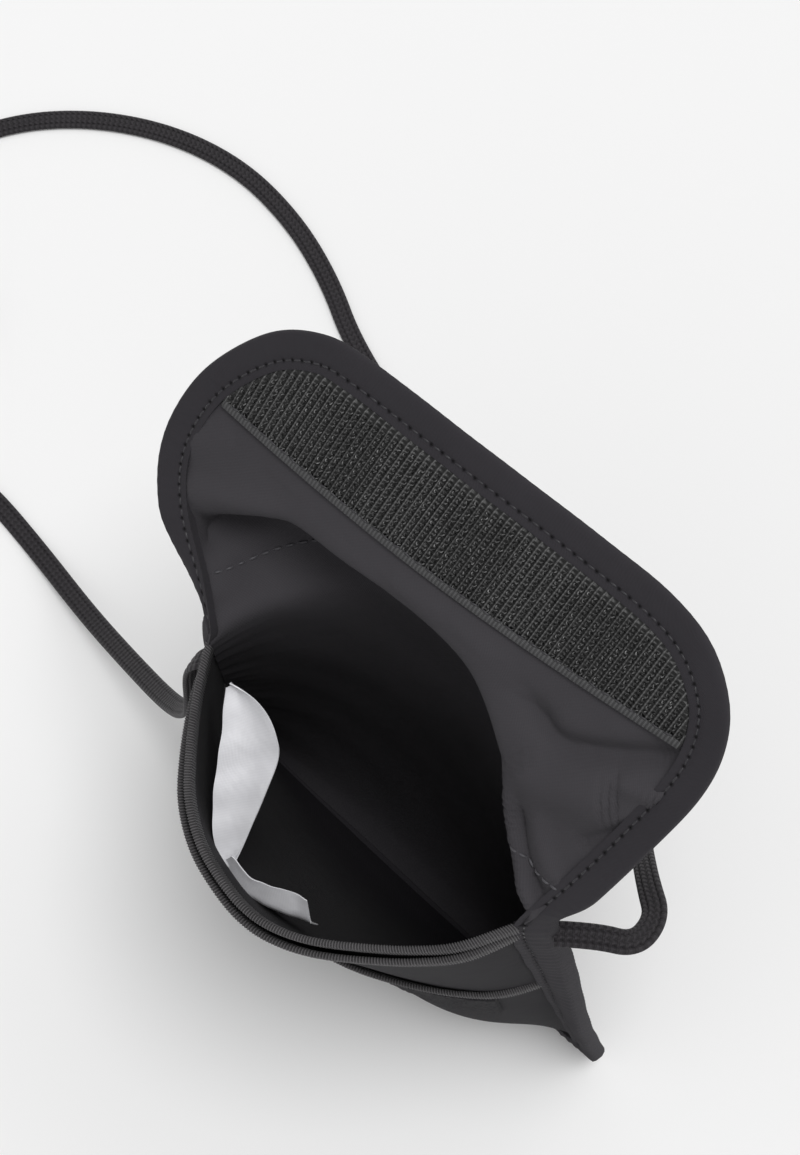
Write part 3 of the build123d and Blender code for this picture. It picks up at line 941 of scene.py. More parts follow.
@dataclass
class BackAndFlap:
    """The back wall and the flap, which are one length of shell cloth with a lining."""

    form: PouchForm
    columns: int = 131
    body_rows: int = 70
    flap_rows: int = 110
    tuck: float = 2.2
    shell: float = 0.6
    lining: float = 0.4
    shoulder: float = 46.0
    soft_foot: tuple[float, float] = (-34.0, -4.0)
    soft_head: tuple[float, float] = (44.0, 54.0)
    softness: float = 0.9
    soft_times: int = 34
    pucker_depth: float = 0.35
    pucker_reach: float = 6.5
    slack_depth: float = 0.30

    def cloth(self) -> Cloth:
        """The middle of the two layers, from the bottom seam to under the flap's binding."""
        f = self.form
        s = np.linspace(-1, 1, self.columns)
        z = np.linspace(f.binding, f.height, self.body_rows)
        body = f.wall(s[None, :] + 0 * z[:, None], z[:, None] + 0 * s[None, :], Side.BACK)
        half = f.seam_x(f.binding)
        body_flat = np.stack(np.broadcast_arrays(s[None, :] * half, z[:, None]), axis=-1)
        flap, flap_flat = self.flap(s)
        points = np.concatenate([body, flap[1:]], axis=0)
        flat = np.concatenate([body_flat, flap_flat[1:]], axis=0)
        height = flat[..., 1] - f.height
        give = ease(height, *self.soft_foot) * (1 - ease(height, *self.soft_head)) * self.softness
        points = soften(points, give, self.soft_times)
        cloth = Cloth(points, flat)
        up = np.maximum(height, 0)
        lift = sum(fold.relief(flat[..., 0], up) for fold in FLAP_FOLDS) * ease(height, 0.0, 6.0)
        lift = lift * np.clip((1 - np.abs(s)) * 14, 0, 1)[None, :]
        from_edge = (1 - np.abs(s)) * f.half_width
        gathers = np.sin(height * 0.75 + 2.2 * np.sin(height * 0.11))
        puckers = self.pucker_depth * gathers * np.exp(-from_edge / self.pucker_reach)
        waves = np.sin(flat[..., 0] * 0.17 + height * 0.09) * np.sin(height * 0.13 - 0.6)
        slack = self.slack_depth * waves
        return Cloth(cloth.offset(lift + puckers + slack * (height < 46)), flat)

    def patch(self, s: np.ndarray, t: np.ndarray) -> np.ndarray:
        """The flap's flat area, as a four-sided patch.

        Args:
            s: from -1 at its left side to 1 at its right.
            t: from 0 at the mouth to 1 at the free edge.

        Returns:
            Across and up for each point, rows by columns by two.
        """
        f = self.form
        edge = f.inner_outline(f.binding - self.tuck)
        top = int(np.argmax(edge[:, 1]))
        left_end = int(np.argmin(np.abs(edge[:top, 1] - self.shoulder)))
        right_end = top + int(np.argmin(np.abs(edge[top:, 1] - self.shoulder)))
        foot = f.wall(s, np.full_like(s, f.height), Side.BACK)[:, 0]
        grow = f.seam_x(f.height) + self.tuck
        left = edge[: left_end + 1].copy()
        right = edge[right_end:][::-1].copy()
        left[0] = (-grow, 0.0)
        right[0] = (grow, 0.0)
        u = (s + 1) / 2
        bottom = np.stack([foot * grow / f.seam_x(f.height), 0 * s], axis=-1)
        sides = [at_share(line, t) for line in (left, right)]
        crown = at_share(edge[left_end : right_end + 1], u)
        ruled = (1 - t)[:, None, None] * bottom[None] + t[:, None, None] * crown[None]
        swept = (1 - u)[None, :, None] * sides[0][:, None] + u[None, :, None] * sides[1][:, None]
        corners = (
            ((1 - t)[:, None] * (1 - u))[..., None] * bottom[0]
            + ((1 - t)[:, None] * u)[..., None] * bottom[-1]
            + (t[:, None] * (1 - u))[..., None] * crown[0]
            + (t[:, None] * u)[..., None] * crown[-1]
        )
        return ruled + swept - corners

    def flap(self, s: np.ndarray) -> tuple[np.ndarray, np.ndarray]:
        """The flap's points and their flat places.

        Above the crest the cloth is flat. Below it, it drops into the pouch and bows outwards,
        because the flat cloth there is longer than the way down.
        """
        f = self.form
        t = np.linspace(0, 1, self.flap_rows)
        flat = self.patch(s, t)
        points = f.card(flat[..., 0], flat[..., 1])
        feet = f.wall(s, np.full_like(s, f.height), Side.BACK)
        half = f.seam_x(f.binding)
        crest_x, crest_up = np.array(f.crest).T
        spread = np.empty_like(flat)
        spread[..., 0] = flat[..., 0]
        spread[..., 1] = flat[..., 1] + f.height
        for k in range(len(s)):
            column = flat[:, k]
            above = column[:, 1] - np.interp(column[:, 0], crest_x, crest_up)
            top = float(np.interp(0.0, above, t)) if above[0] < 0 else 0.0
            if top <= t[1]:
                points[0, k] = feet[k]
                continue
            peak = np.array([np.interp(top, t, points[:, k, i]) for i in range(3)])
            peak_flat = np.array([np.interp(top, t, column[:, i]) for i in range(2)])
            chord = peak - feet[k]
            straight = float(np.linalg.norm(chord))
            length = math.hypot(peak_flat[0] - s[k] * half, peak_flat[1] + f.fold_height - f.height)
            belly = math.sqrt(max(0.0, 0.375 * straight * (length - straight)))
            outwards = np.array([feet[k][0], feet[k][1] + 10.8, -8.0])
            outwards -= chord * (outwards @ chord) / straight**2
            outwards /= np.linalg.norm(outwards)
            low = t < top
            share = t[low] / top
            points[low, k] = (
                feet[k]
                + share[:, None] * chord
                + (4 * share * (1 - share) * belly)[:, None] * outwards
            )
            spread[low, k, 0] = s[k] * half + (peak_flat[0] - s[k] * half) * share
            spread[low, k, 1] = f.height + share * peak_flat[1]
        return points, spread

    def build(self, cloth: Cloth) -> tuple[bpy.types.Object, bpy.types.Object]:
        """Make the shell and the lining."""
        f = self.form
        pieces = []
        for name, out, thick, finish, slot, nodes in (
            ("back_and_flap_outer", -self.shell / 2, self.shell, Finish.OUTER, "shell_fabric",
             ("back_panel", "flap_panel", "flap_fold")),
            ("back_and_flap_lining", self.lining / 2 + 0.05, self.lining, Finish.LINING, "lining_fabric",
             ("back_lining", "flap_lining")),
        ):
            piece = laid_grid(name, cloth.offset(out), cloth.flat)
            thicken(piece, thick * 0.9)
            dress(piece, finish)
            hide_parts(*nodes)
            bend(piece, f)
            pieces.append(piece)
            log.info("%s: %d faces", name, len(piece.data.polygons))
        return pieces[0], pieces[1]


def at_share(line: np.ndarray, share: np.ndarray) -> np.ndarray:
    """Points of a line at shares of its length."""
    along = np.concatenate([[0], np.cumsum(np.linalg.norm(np.diff(line, axis=0), axis=1))])
    return np.stack([np.interp(share * along[-1], along, line[:, k]) for k in range(2)], axis=-1)


def bend(piece: bpy.types.Object, form: PouchForm) -> None:
    """Bake a piece's transform into its mesh; the bend's start height is worked out but not used."""
    start = form.height - BEND_BELOW
    start * MM
    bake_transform(piece)


# ---- front walls and pockets --------------------------------------------------------------------------


@dataclass
class FrontLayer:
    """One of the three cloths of the front, with the ribbed tape over its top edge."""

    form: PouchForm
    name: str
    tape_name: str
    top: float
    out: float
    loose: float
    node: str
    tape_node: str
    lean: float = 0.0
    belly: float = 0.0
    belly_height: tuple[float, float] = (42.0, 24.0)
    belly_across: tuple[float, float] = (0.55, 0.4)
    lean_depth: float = 9.0
    clearance: float = 0.4
    under_binding: float = 3.5
    columns: int = 101
    thickness: float = 0.6
    tape: float = 4.2
    tape_inner: float = 4.2
    rib: float = 0.65
    rib_steps: int = 6

    def sheet_points(self, s: np.ndarray, z: np.ndarray) -> np.ndarray:
        """Points of this cloth's middle."""
        f = self.form
        share = (z - f.binding) / (f.height - f.binding)
        hug = 1 - np.abs(s) ** 6
        loose = self.out + self.loose * share * np.clip(1 - s**2, 0, 1)
        loose = loose + self.lean * ease(z, self.top - self.lean_depth, self.top) * np.clip(1 - s**2, 0, 1)
        (height, tall), (across, broad) = self.belly_height, self.belly_across
        loose = loose + self.belly * np.exp(-(((z - height) / tall) ** 2) - ((s - across) / broad) ** 2)
        settle = 0.5 + 0.5 * ease(z, f.binding - 2, f.binding + 10)
        return f.wall(s, z, Side.FRONT, loose * hug * settle + self.clearance)

    def build(self) -> list[bpy.types.Object]:
        """Make the cloth and its tape."""
        f = self.form
        s = np.linspace(-1, 1, self.columns)
        z = np.linspace(f.binding - self.under_binding, self.top - 0.3, 76)
        grid_s, grid_z = np.meshgrid(s, z)
        half = f.seam_x(f.binding)
        points = self.sheet_points(grid_s, grid_z)
        cloth = Cloth(points, np.stack([grid_s * half, grid_z], axis=-1))
        panel = thicken(laid_grid(self.name, cloth.points, cloth.flat), self.thickness * 0.85)
        fit(panel, Finish.OUTER, [self.node])
        return [panel, self.folded_tape(half)]

    def folded_tape(self, half: float) -> bpy.types.Object:
        """The ribbed tape, folded over the cloth's top edge."""
        ribs = int(2 * half / self.rib)
        s = np.linspace(-1.0, 1.0, ribs * self.rib_steps + 1)
        wall = self.thickness / 2 + 0.55
        profile = np.array(
            [
                (-self.tape_inner, -wall + 0.35), (-self.tape_inner + 0.5, -wall),
                (-self.tape_inner / 2, -wall),
                (-0.7, -wall), (-0.15, -wall * 0.75), (0.1, 0.0), (-0.15, wall * 0.75), (-0.7, wall),
                (-self.tape / 2, wall), (-self.tape + 0.5, wall), (-self.tape, wall - 0.35),
                (-self.tape, wall - 0.75), (-self.tape * 0.6, 0.25), (-self.tape_inner * 0.6, -0.25),
                (-self.tape_inner, -wall + 0.75),
            ]
        )
        around = len(profile)
        ridge = 0.30 * (0.5 + 0.5 * np.sin(2 * math.pi * s * half / self.rib))
        points = np.empty((len(s), around + 1, 3))
        flat = np.empty((len(s), around + 1, 2))
        for k in range(around + 1):
            up, out = profile[k % around]
            outer = k % around < 11
            grow = ridge * np.sign(out) * outer
            height = np.full_like(s, self.top + up)
            points[:, k] = self.sheet_points(s, height)
            edge = self.form.wall(s, height, Side.FRONT, 1.0) - self.form.wall(s, height, Side.FRONT, 0.0)
            points[:, k] += edge * (out + grow)[:, None]
            points[:, k, 2] += ridge * (0.7 if 3 <= k % around <= 7 else 0.0)
            flat[:, k] = np.stack([s * half, np.full_like(s, k * 0.8)], axis=1)
        tape = laid_grid(self.tape_name, points, flat, close_round=True)
        close_ends(tape)
        turn_outwards(tape)
        smooth(tape, 60)
        return fit(tape, Finish.TAPE, [self.tape_node])


# ---- binding -------------------------------------------------------------------------------------------


@dataclass
class EdgeBinding:
    """Self-fabric tape folded over every outer edge of the pouch and the flap."""

    form: PouchForm
    step: float = 1.0
    front_stack: float = 2.3
    back_stack: float = 1.6
    flap_stack: float = 1.15
    stitch_inset: float = 6.5
    fin_rise: tuple[float, float] = (36.0, 125.0)
    fin_fall: tuple[float, float] = (-2.0, 20.0)
    fin_draw: float = 1.8

    def route(self) -> np.ndarray:
        """The outer edge all the way round, across and up from the fold line, evenly spaced."""
        f = self.form
        slope = math.atan2(f.half_width - f.mouth_half, f.height)
        corner = f.corner_radius
        centre_x = f.half_width - corner * math.cos(slope) * 1.12
        turn = np.linspace(slope, math.pi / 2, 12)
        right = np.stack(
            [centre_x + corner * np.cos(turn), corner - corner * np.sin(turn)], axis=1
        )
        left = right[::-1] * (-1, 1)
        low = f.fold_height
        body = np.vstack([right, left])
        body[:, 1] -= low
        flap = f.outline()
        line = np.vstack([flap, body, flap[:1]])
        line = spaced(line, self.step)
        for _ in range(3):
            line[1:-1] = (line[:-2] + 2 * line[1:-1] + line[2:]) / 4
        return spaced(line, self.step)[:-1]

    def section(self, up: np.ndarray, count: int = 9) -> tuple[np.ndarray, np.ndarray]:
        """Across the binding: the inset from the edge and the height off the seam, all round.

        Args:
            up: each ring's height above the fold line.
            count: points on each face.

        Returns:
            Inset and proud, rings by points.
        """
        flap = ease(up, -16, 4)
        front = self.front_stack + (self.flap_stack - self.front_stack) * flap
        back = self.back_stack + (self.flap_stack - self.back_stack) * flap
        wide = self.form.binding
        inset = np.concatenate(
            [
                np.linspace(wide, 0.9, count), [0.35, 0.0, 0.35], np.linspace(0.9, wide, count),
                [wide - 0.1, wide - 0.1],
            ]
        )
        crown = 1 + 0.16 * np.cos(np.clip((inset - 2.6) / 3.6, -1, 1) * math.pi / 2)
        crown -= 0.34 * np.exp(-(((inset - self.stitch_inset) / 0.6) ** 2))
        crown += 0.10 * np.exp(-(((inset - wide + 0.5) / 0.5) ** 2))
        round_off = np.concatenate([np.ones(count), [0.72, 0.0, 0.72], np.ones(count), [0.4, 0.4]])
        side = np.concatenate([np.ones(count + 1), [0.0], -np.ones(count + 2), [1.0]])
        stack = np.where(side[None, :] > 0, front[:, None], back[:, None])
        return np.broadcast_to(inset, stack.shape), stack * (crown * round_off * side)[None, :]

    def lay(self, line: np.ndarray, inset: np.ndarray, proud: np.ndarray) -> np.ndarray:
        """Points that far in from the edge line and that far off the seam."""
        f = self.form
        ahead = np.roll(line, -2, axis=0) - np.roll(line, 2, axis=0)
        along = unit(ahead)
        inwards = np.stack([along[:, 1], -along[:, 0]], axis=1)
        x = line[:, :1] + inwards[:, :1] * inset
        up = line[:, 1:] + inwards[:, 1:] * inset
        points = f.card(x, up, proud)
        lift = ease(up + f.fold_height, *self.fin_rise) * (1 - ease(up, *self.fin_fall))
        outer = np.clip(1 - inset / f.binding, 0, 1)
        points[..., 1] += f.fin_sweep * lift * outer
        points[..., 0] -= np.sign(x) * self.fin_draw * lift * outer
        return points

    def build(self) -> bpy.types.Object:
        """Make the binding."""
        line = self.route()
        inset, proud = self.section(line[:, 1])
        rings = np.arange(len(line)) * self.step
        pucker = 1 + 0.06 * np.cos(rings * 2 * math.pi / STITCH_PITCH) + 0.05 * np.sin(rings * 0.31)
        points = self.lay(line, inset, proud * pucker[:, None])
        points = np.concatenate([points, points[:1]], axis=0)
        points = np.concatenate([points, points[:, :1]], axis=1)
        rows, columns = points.shape[:2]
        flat = np.stack(
            np.broadcast_arrays(
                (np.arange(columns)[None, :] - 10) * 0.95, np.arange(rows)[:, None] * self.step
            ),
            axis=-1,
        )
        piece = laid_grid("edge_binding", points, flat, close_round=True)
        turn_outwards(piece)
        smooth(piece, 60)
        dress(piece, Finish.BINDING)
        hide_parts("body_binding", "flap_binding")
        bend(piece, self.form)
        log.info("edge_binding: %d faces", len(piece.data.polygons))
        return piece

    def stitch_lines(self) -> list[tuple[np.ndarray, np.ndarray]]:
        """The stitch line's points and outward directions, on the front and on the back."""
        line = self.route()
        inset = np.full((len(line), 1), self.stitch_inset)
        _, ring_proud = self.section(line[:, 1])
        made = []
        for side in (1.0, -1.0):
            face = 2 if side > 0 else -5
            level = ring_proud[:, face] * 0.84
            points = self.lay(line, inset, level[:, None])[:, 0]
            beyond = self.lay(line, inset, level[:, None] + side)[:, 0]
            made.append((points, beyond - points))
        return made


# ---- stitching -----------------------------------------------------------------------------------------


@dataclass
class Stitching:
    """Sewn stitches, each a short raised thread that dips in at its ends."""

    pitch: float = STITCH_PITCH
    share: float = 0.74
    thread: float = 0.40
    seed: int = 7

    def stitch(self) -> bpy.types.Object:
        """One stitch along X, in millimetres, with its ends bent down."""
        clear_selection()
        bpy.ops.mesh.primitive_uv_sphere_add(segments=6, ring_count=5, radius=0.5)
        obj = bpy.context.object
        obj.rotation_euler = (0, math.pi / 2, 0)
        bpy.ops.object.transform_apply(location=True, rotation=True, scale=True)
        points = coordinates(obj)
        length = self.pitch * self.share
        points[:, 1:] *= self.thread * 1.5
        points[:, 1:] /= np.maximum(0.5, (1 - (2 * points[:, :1]) ** 4) ** 0.2 + 0.001)
        points[:, 0] *= length
        points[:, 2] += 0.10 - 0.34 * (2 * points[:, 0] / length) ** 4
        place_points(obj, points)
        return obj

    def run(
        self, name: str, lines: Sequence[tuple[np.ndarray, np.ndarray]], finish: Finish = Finish.THREAD,
        by_rings: bool = False,
    ) -> bpy.types.Object:
        """Sew along lines.

        Args:
            name: the new piece's name.
            lines: for each line its points and its outward directions, in millimetres.
            finish: the thread.
            by_rings: whether the points are one millimetre apart on the outer edge, which sets the
                stitches to the needle holes.

        Returns:
            The stitches as one piece.
        """
        rng = np.random.default_rng(self.seed)
        origins, along, out = [], [], []
        for points, outward in lines:
            both = np.hstack([points, outward])
            if by_rings:
                at = np.arange(0, len(both) - 1, self.pitch)
                rings = np.arange(len(both))
                both = np.stack([np.interp(at, rings, both[:, k]) for k in range(6)], axis=1)
            else:
                both = spaced(both, self.pitch)
            line = both[:, :3]
            ahead = np.diff(line, axis=0)
            origins.append((line[:-1] + line[1:]) / 2)
            along.append(ahead)
            out.append(both[:-1, 3:])
        places = np.vstack(origins)
        ways = unit(np.vstack(along)) + rng.normal(0, 0.035, places.shape)
        outs = np.vstack(out)
        stretch = rng.uniform(0.9, 1.08, len(places))
        piece = scatter(name, self.stitch(), places, ways, outs, stretch)
        dress(piece, finish)
        log.info("%s: %d stitches", name, len(places))
        return piece


# ---- hook and loop fastener --------------------------------------------------------------------------------


@dataclass
class HookStrip:
    """The hook tape along the flap's free edge, on the lining."""

    form: PouchForm
    column_pitch: float = HOOK_COLUMN_PITCH
    first_rib: float = STRIP_FIRST_RIB
    hook_pitch: float = HOOK_ROW_PITCH
    selvedge: float = 1.5
    seed: int = 3
    low_edge: tuple[tuple[float, float], ...] = (
        (-76.0, 50.4), (-42.0, 51.9), (-10.2, 53.9), (21.9, 57.2), (55.0, 61.2),
    )

    def edges(self, x: np.ndarray) -> tuple[np.ndarray, np.ndarray]:
        """The strip's lower and upper edges at places across."""
        low = through(self.low_edge)
        line = self.form.inner_outline(self.form.binding + 0.2)
        upper = line[line[:, 1] > 44]
        order = np.argsort(upper[:, 0])
        return np.interp(x, low[:, 0], low[:, 1]), np.interp(x, upper[order, 0], upper[order, 1])

    def span(self) -> tuple[float, float]:
        """Where the strip's two ends are, across."""
        x = np.linspace(-80, 60, 1401)
        low, high = self.edges(x)
        inside = x[high - low > 1.2]
        line = self.form.inner_outline(self.form.binding + 0.2)
        return max(inside[0], line[:, 0].min() + 0.1), min(inside[-1], line[:, 0].max() - 0.1)

    def surface(self, x: np.ndarray, up: np.ndarray, proud: np.ndarray | float) -> np.ndarray:
        """Points over the lining."""
        return self.form.card(x, up, proud + 0.5)

    def tape(self) -> bpy.types.Object:
        """The woven base of the strip."""
        start, end = self.span()
        middle = (start + end) / 2
        columns = int((end - start) / self.column_pitch) * 6
        x = middle + (end - start) / 2 * np.linspace(-1, 1, columns + 1)
        low, high = self.edges(x)
        share = np.array([0.0, 0.0, 0.04, 0.10, 0.25, 0.5, 0.75, 0.9, 0.97, 1.0, 1.0])
        rise = np.array([0.0, 0.6, 0.8, 0.8, 0.8, 0.8, 0.8, 0.8, 0.8, 0.6, 0.0])
        up = low[None, :] + share[:, None] * (high - low)[None, :]
        rib = 0.30 * (0.5 + 0.5 * np.cos((x - self.first_rib) * 2 * math.pi / self.column_pitch)) ** 4
        points = self.surface(x[None, :] + 0 * up, up, rise[:, None] + rib[None, :] * (rise > 0.7)[:, None])
        flat = np.stack([x[None, :] + 0 * up - self.first_rib, up], axis=-1)
        piece = thicken(laid_grid("hook_tape", points, flat), 0.4)
        return fit(piece, Finish.HOOK_BASE, ["hook_strip"], "flap")

    def selvedge_band(self) -> bpy.types.Object:
        """The ribbed selvedge along the strip's lower edge."""
        start, end = self.span()
        ribs = int((end - start) / 0.9)
        x = np.linspace(start + 0.3, end - 0.3, ribs * 4 + 1)
        low, high = self.edges(x)
        wide = np.minimum(self.selvedge, high - low)
        share = np.array([-0.12, -0.10, 0.2, 0.5, 0.8, 1.0, 1.0])
        rise = np.array([0.0, 0.95, 1.15, 1.2, 1.15, 1.0, 0.3])
        ridge = 0.14 * np.abs(np.sin(np.arange(len(x)) * math.pi / 4))
        up = low[None, :] + share[:, None] * wide[None, :]
        points = self.surface(x[None, :] + 0 * up, up, rise[:, None] + ridge[None, :])
        flat = np.stack([x[None, :] + 0 * up, up], axis=-1)
        piece = thicken(laid_grid("hook_tape_selvedge", points, flat), 0.25)
        return fit(piece, Finish.SELVEDGE, body="flap")

    def hook(self) -> bpy.types.Object:
        """One hook: a bent bar that stands on the tape, in millimetres."""
        clear_selection()
        bpy.ops.mesh.primitive_torus_add(
            major_segments=10, minor_segments=4, major_radius=0.34, minor_radius=0.13,
            rotation=(math.pi / 2, 0, 0),
        )
        obj = bpy.context.object
        bpy.ops.object.transform_apply(location=True, rotation=True, scale=True)
        choose(obj)
        bpy.ops.object.mode_set(mode="EDIT")
        bpy.ops.mesh.select_all(action="SELECT")
        bpy.ops.mesh.bisect(
            plane_co=(0, 0, -0.12), plane_no=(0, 0, 1), clear_inner=True, use_fill=True
        )
        bpy.ops.object.mode_set(mode="OBJECT")
        points = coordinates(obj)
        points[:, 2] = points[:, 2] * 1.15 + 0.14
        place_points(obj, points)
        return obj

    def hooks(self) -> bpy.types.Object:
        """All the hooks, in columns across the strip."""
        rng = np.random.default_rng(self.seed)
        start, end = self.span()
        places, ways, outs = [], [], []
        steps = math.ceil((start + 0.6 - self.first_rib) / self.column_pitch - 0.5)
        first = self.first_rib + (steps + 0.5) * self.column_pitch
        columns = int((end - 0.6 - first) / self.column_pitch) + 1
        for k in range(columns):
            x0 = first + k * self.column_pitch
            low, high = self.edges(np.array([x0]))
            room = high[0] - low[0] - self.selvedge - 1.1
            count = int(room / self.hook_pitch)
            if count < 1:
                continue
            up = low[0] + self.selvedge + 0.6 + np.arange(count) * self.hook_pitch
            sway = 0.12 * np.where((np.arange(count) + k) % 2 == 0, 1.0, -1.0) + rng.normal(0, 0.05, count)
            x = x0 + sway
            origin = self.surface(x, up + rng.normal(0, 0.06, count), 1.0)
            lean = rng.normal(0, 0.22, (count, 3))
            spin = rng.uniform(0.6, 1.3, count)
            side = np.where((np.arange(count) + k) % 2 == 0, 1.0, -1.0)
            rise = self.surface(x, up + 1, 1.0) - self.surface(x, up, 1.0)
            way = rise * spin[:, None] + np.array([1.0, 0, 0]) * (side * 0.55)[:, None]
            places.append(origin)
            ways.append(way)
            outs.append(self.form.card_normal(up) + lean)
        piece = scatter("hooks", self.hook(), np.vstack(places), np.vstack(ways), np.vstack(outs))
        return fit(piece, Finish.HOOKS, body="flap")

    def stitch_lines(self) -> list[tuple[np.ndarray, np.ndarray]]:
        """The line that sews the strip on, just inside its lower edge."""
        start, end = self.span()
        x = np.linspace(start + 2, end - 2, 220)
        low, _ = self.edges(x)
        up = low + self.selvedge + 0.15 + 0.25 * np.sin(x * 0.9)
        return [(self.surface(x, up, 1.25), self.form.card_normal(up))]


@dataclass
class LoopStrip:
    """The loop tape low on the front, just below the lower pocket's edge."""

    layer: FrontLayer
    pile: float = 1.1
    seed: int = 5

    def build(self) -> bpy.types.Object:
        """Make the tape, with a fuzzy face."""
        low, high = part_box("loop_strip")
        bottom = low.z / MM
        top = high.z / MM
        f = self.layer.form
        half = f.seam_x(f.binding)
        reach = high.x / MM / half
        rng = np.random.default_rng(self.seed)
        s = np.linspace(-reach, reach, 150)
        z = np.linspace(bottom, top, 34)
        grid_s, grid_z = np.meshgrid(s, z)
        fuzz = rng.uniform(0, 0.35, grid_s.shape)
        edge = np.minimum(
            ease(np.abs(grid_s), reach, reach - 0.01),
            ease(np.abs(grid_z - (top + bottom) / 2), (top - bottom) / 2, (top - bottom) / 2 - 0.8),
        )
        out = 0.45 + (self.pile - 0.3 + fuzz) * edge
        points = self.layer.sheet_points(grid_s, grid_z) + self.outwards(grid_s, grid_z) * out[..., None]
        piece = laid_grid("loop_tape", points, np.stack([grid_s * half, grid_z], axis=-1))
        apply_modifier(piece, "SOLIDIFY", thickness=0.4 * MM, offset=-1.0, use_rim=True)
        turn_outwards(piece)
        smooth(piece, 60)
        return fit(piece, Finish.LOOPS, ["loop_strip"])

    def outwards(self, s: np.ndarray, z: np.ndarray) -> np.ndarray:
        """The front's outward direction."""
        f = self.layer.form
        return unit(f.wall(s, z, Side.FRONT, 1.0) - f.wall(s, z, Side.FRONT, 0.0))


# ---- care label ------------------------------------------------------------------------------------------


@dataclass
class LabelLeaf:
    """One satin leaf of the care label, laid over long lines side by side, in millimetres."""

    name: str
    node: str
    lines: tuple[tuple[tuple[float, float, float], ...], ...]
    wave: float = 1.0
    thickness: float = 0.3

    def build(self) -> bpy.types.Object:
        """Make the leaf."""
        t = np.linspace(0, 1, 90)
        w = np.linspace(0, 1, 31)
        long_lines = []
        for points in self.lines:
            line = spaced(through(points), 0.5)
            at = np.linspace(0, 1, len(line))
            long_lines.append(np.stack([np.interp(t, at, line[:, k]) for k in range(3)], axis=1))
        stack = np.array(long_lines)
        where = w * (len(stack) - 1)
        low = np.minimum(where.astype(int), len(stack) - 2)
        part = (where - low)[None, :, None]
        grid = stack[low].transpose(1, 0, 2) * (1 - part) + stack[low + 1].transpose(1, 0, 2) * part
        grid = soften(grid, np.full(grid.shape[:2], 0.9), 12)
        normal = normals_of(grid)
        arch = np.sin(w * math.pi)[None, :] * (1.3 + 0.7 * np.sin(t * 5.0))[:, None]
        ripple = 0.5 * np.sin(t * 17)[:, None] * w[None, :] + 0.25 * np.sin(t * 29 + 1)[:, None]
        grid = grid + normal * ((arch + ripple) * self.wave)[..., None]
        along = np.cumsum(np.linalg.norm(np.diff(grid[:, 15], axis=0, prepend=grid[:1, 15]), axis=1))
        wide = np.linalg.norm(np.diff(grid, axis=1), axis=2).sum(axis=1).max()
        flat = np.stack(np.broadcast_arrays(w[None, :] * wide, along[:, None]), axis=-1)
        leaf = thicken(laid_grid(self.name, grid, flat), self.thickness)
        fit(leaf, Finish.LABEL, [self.node])
        return leaf


# ---- neck cord -------------------------------------------------------------------------------------------


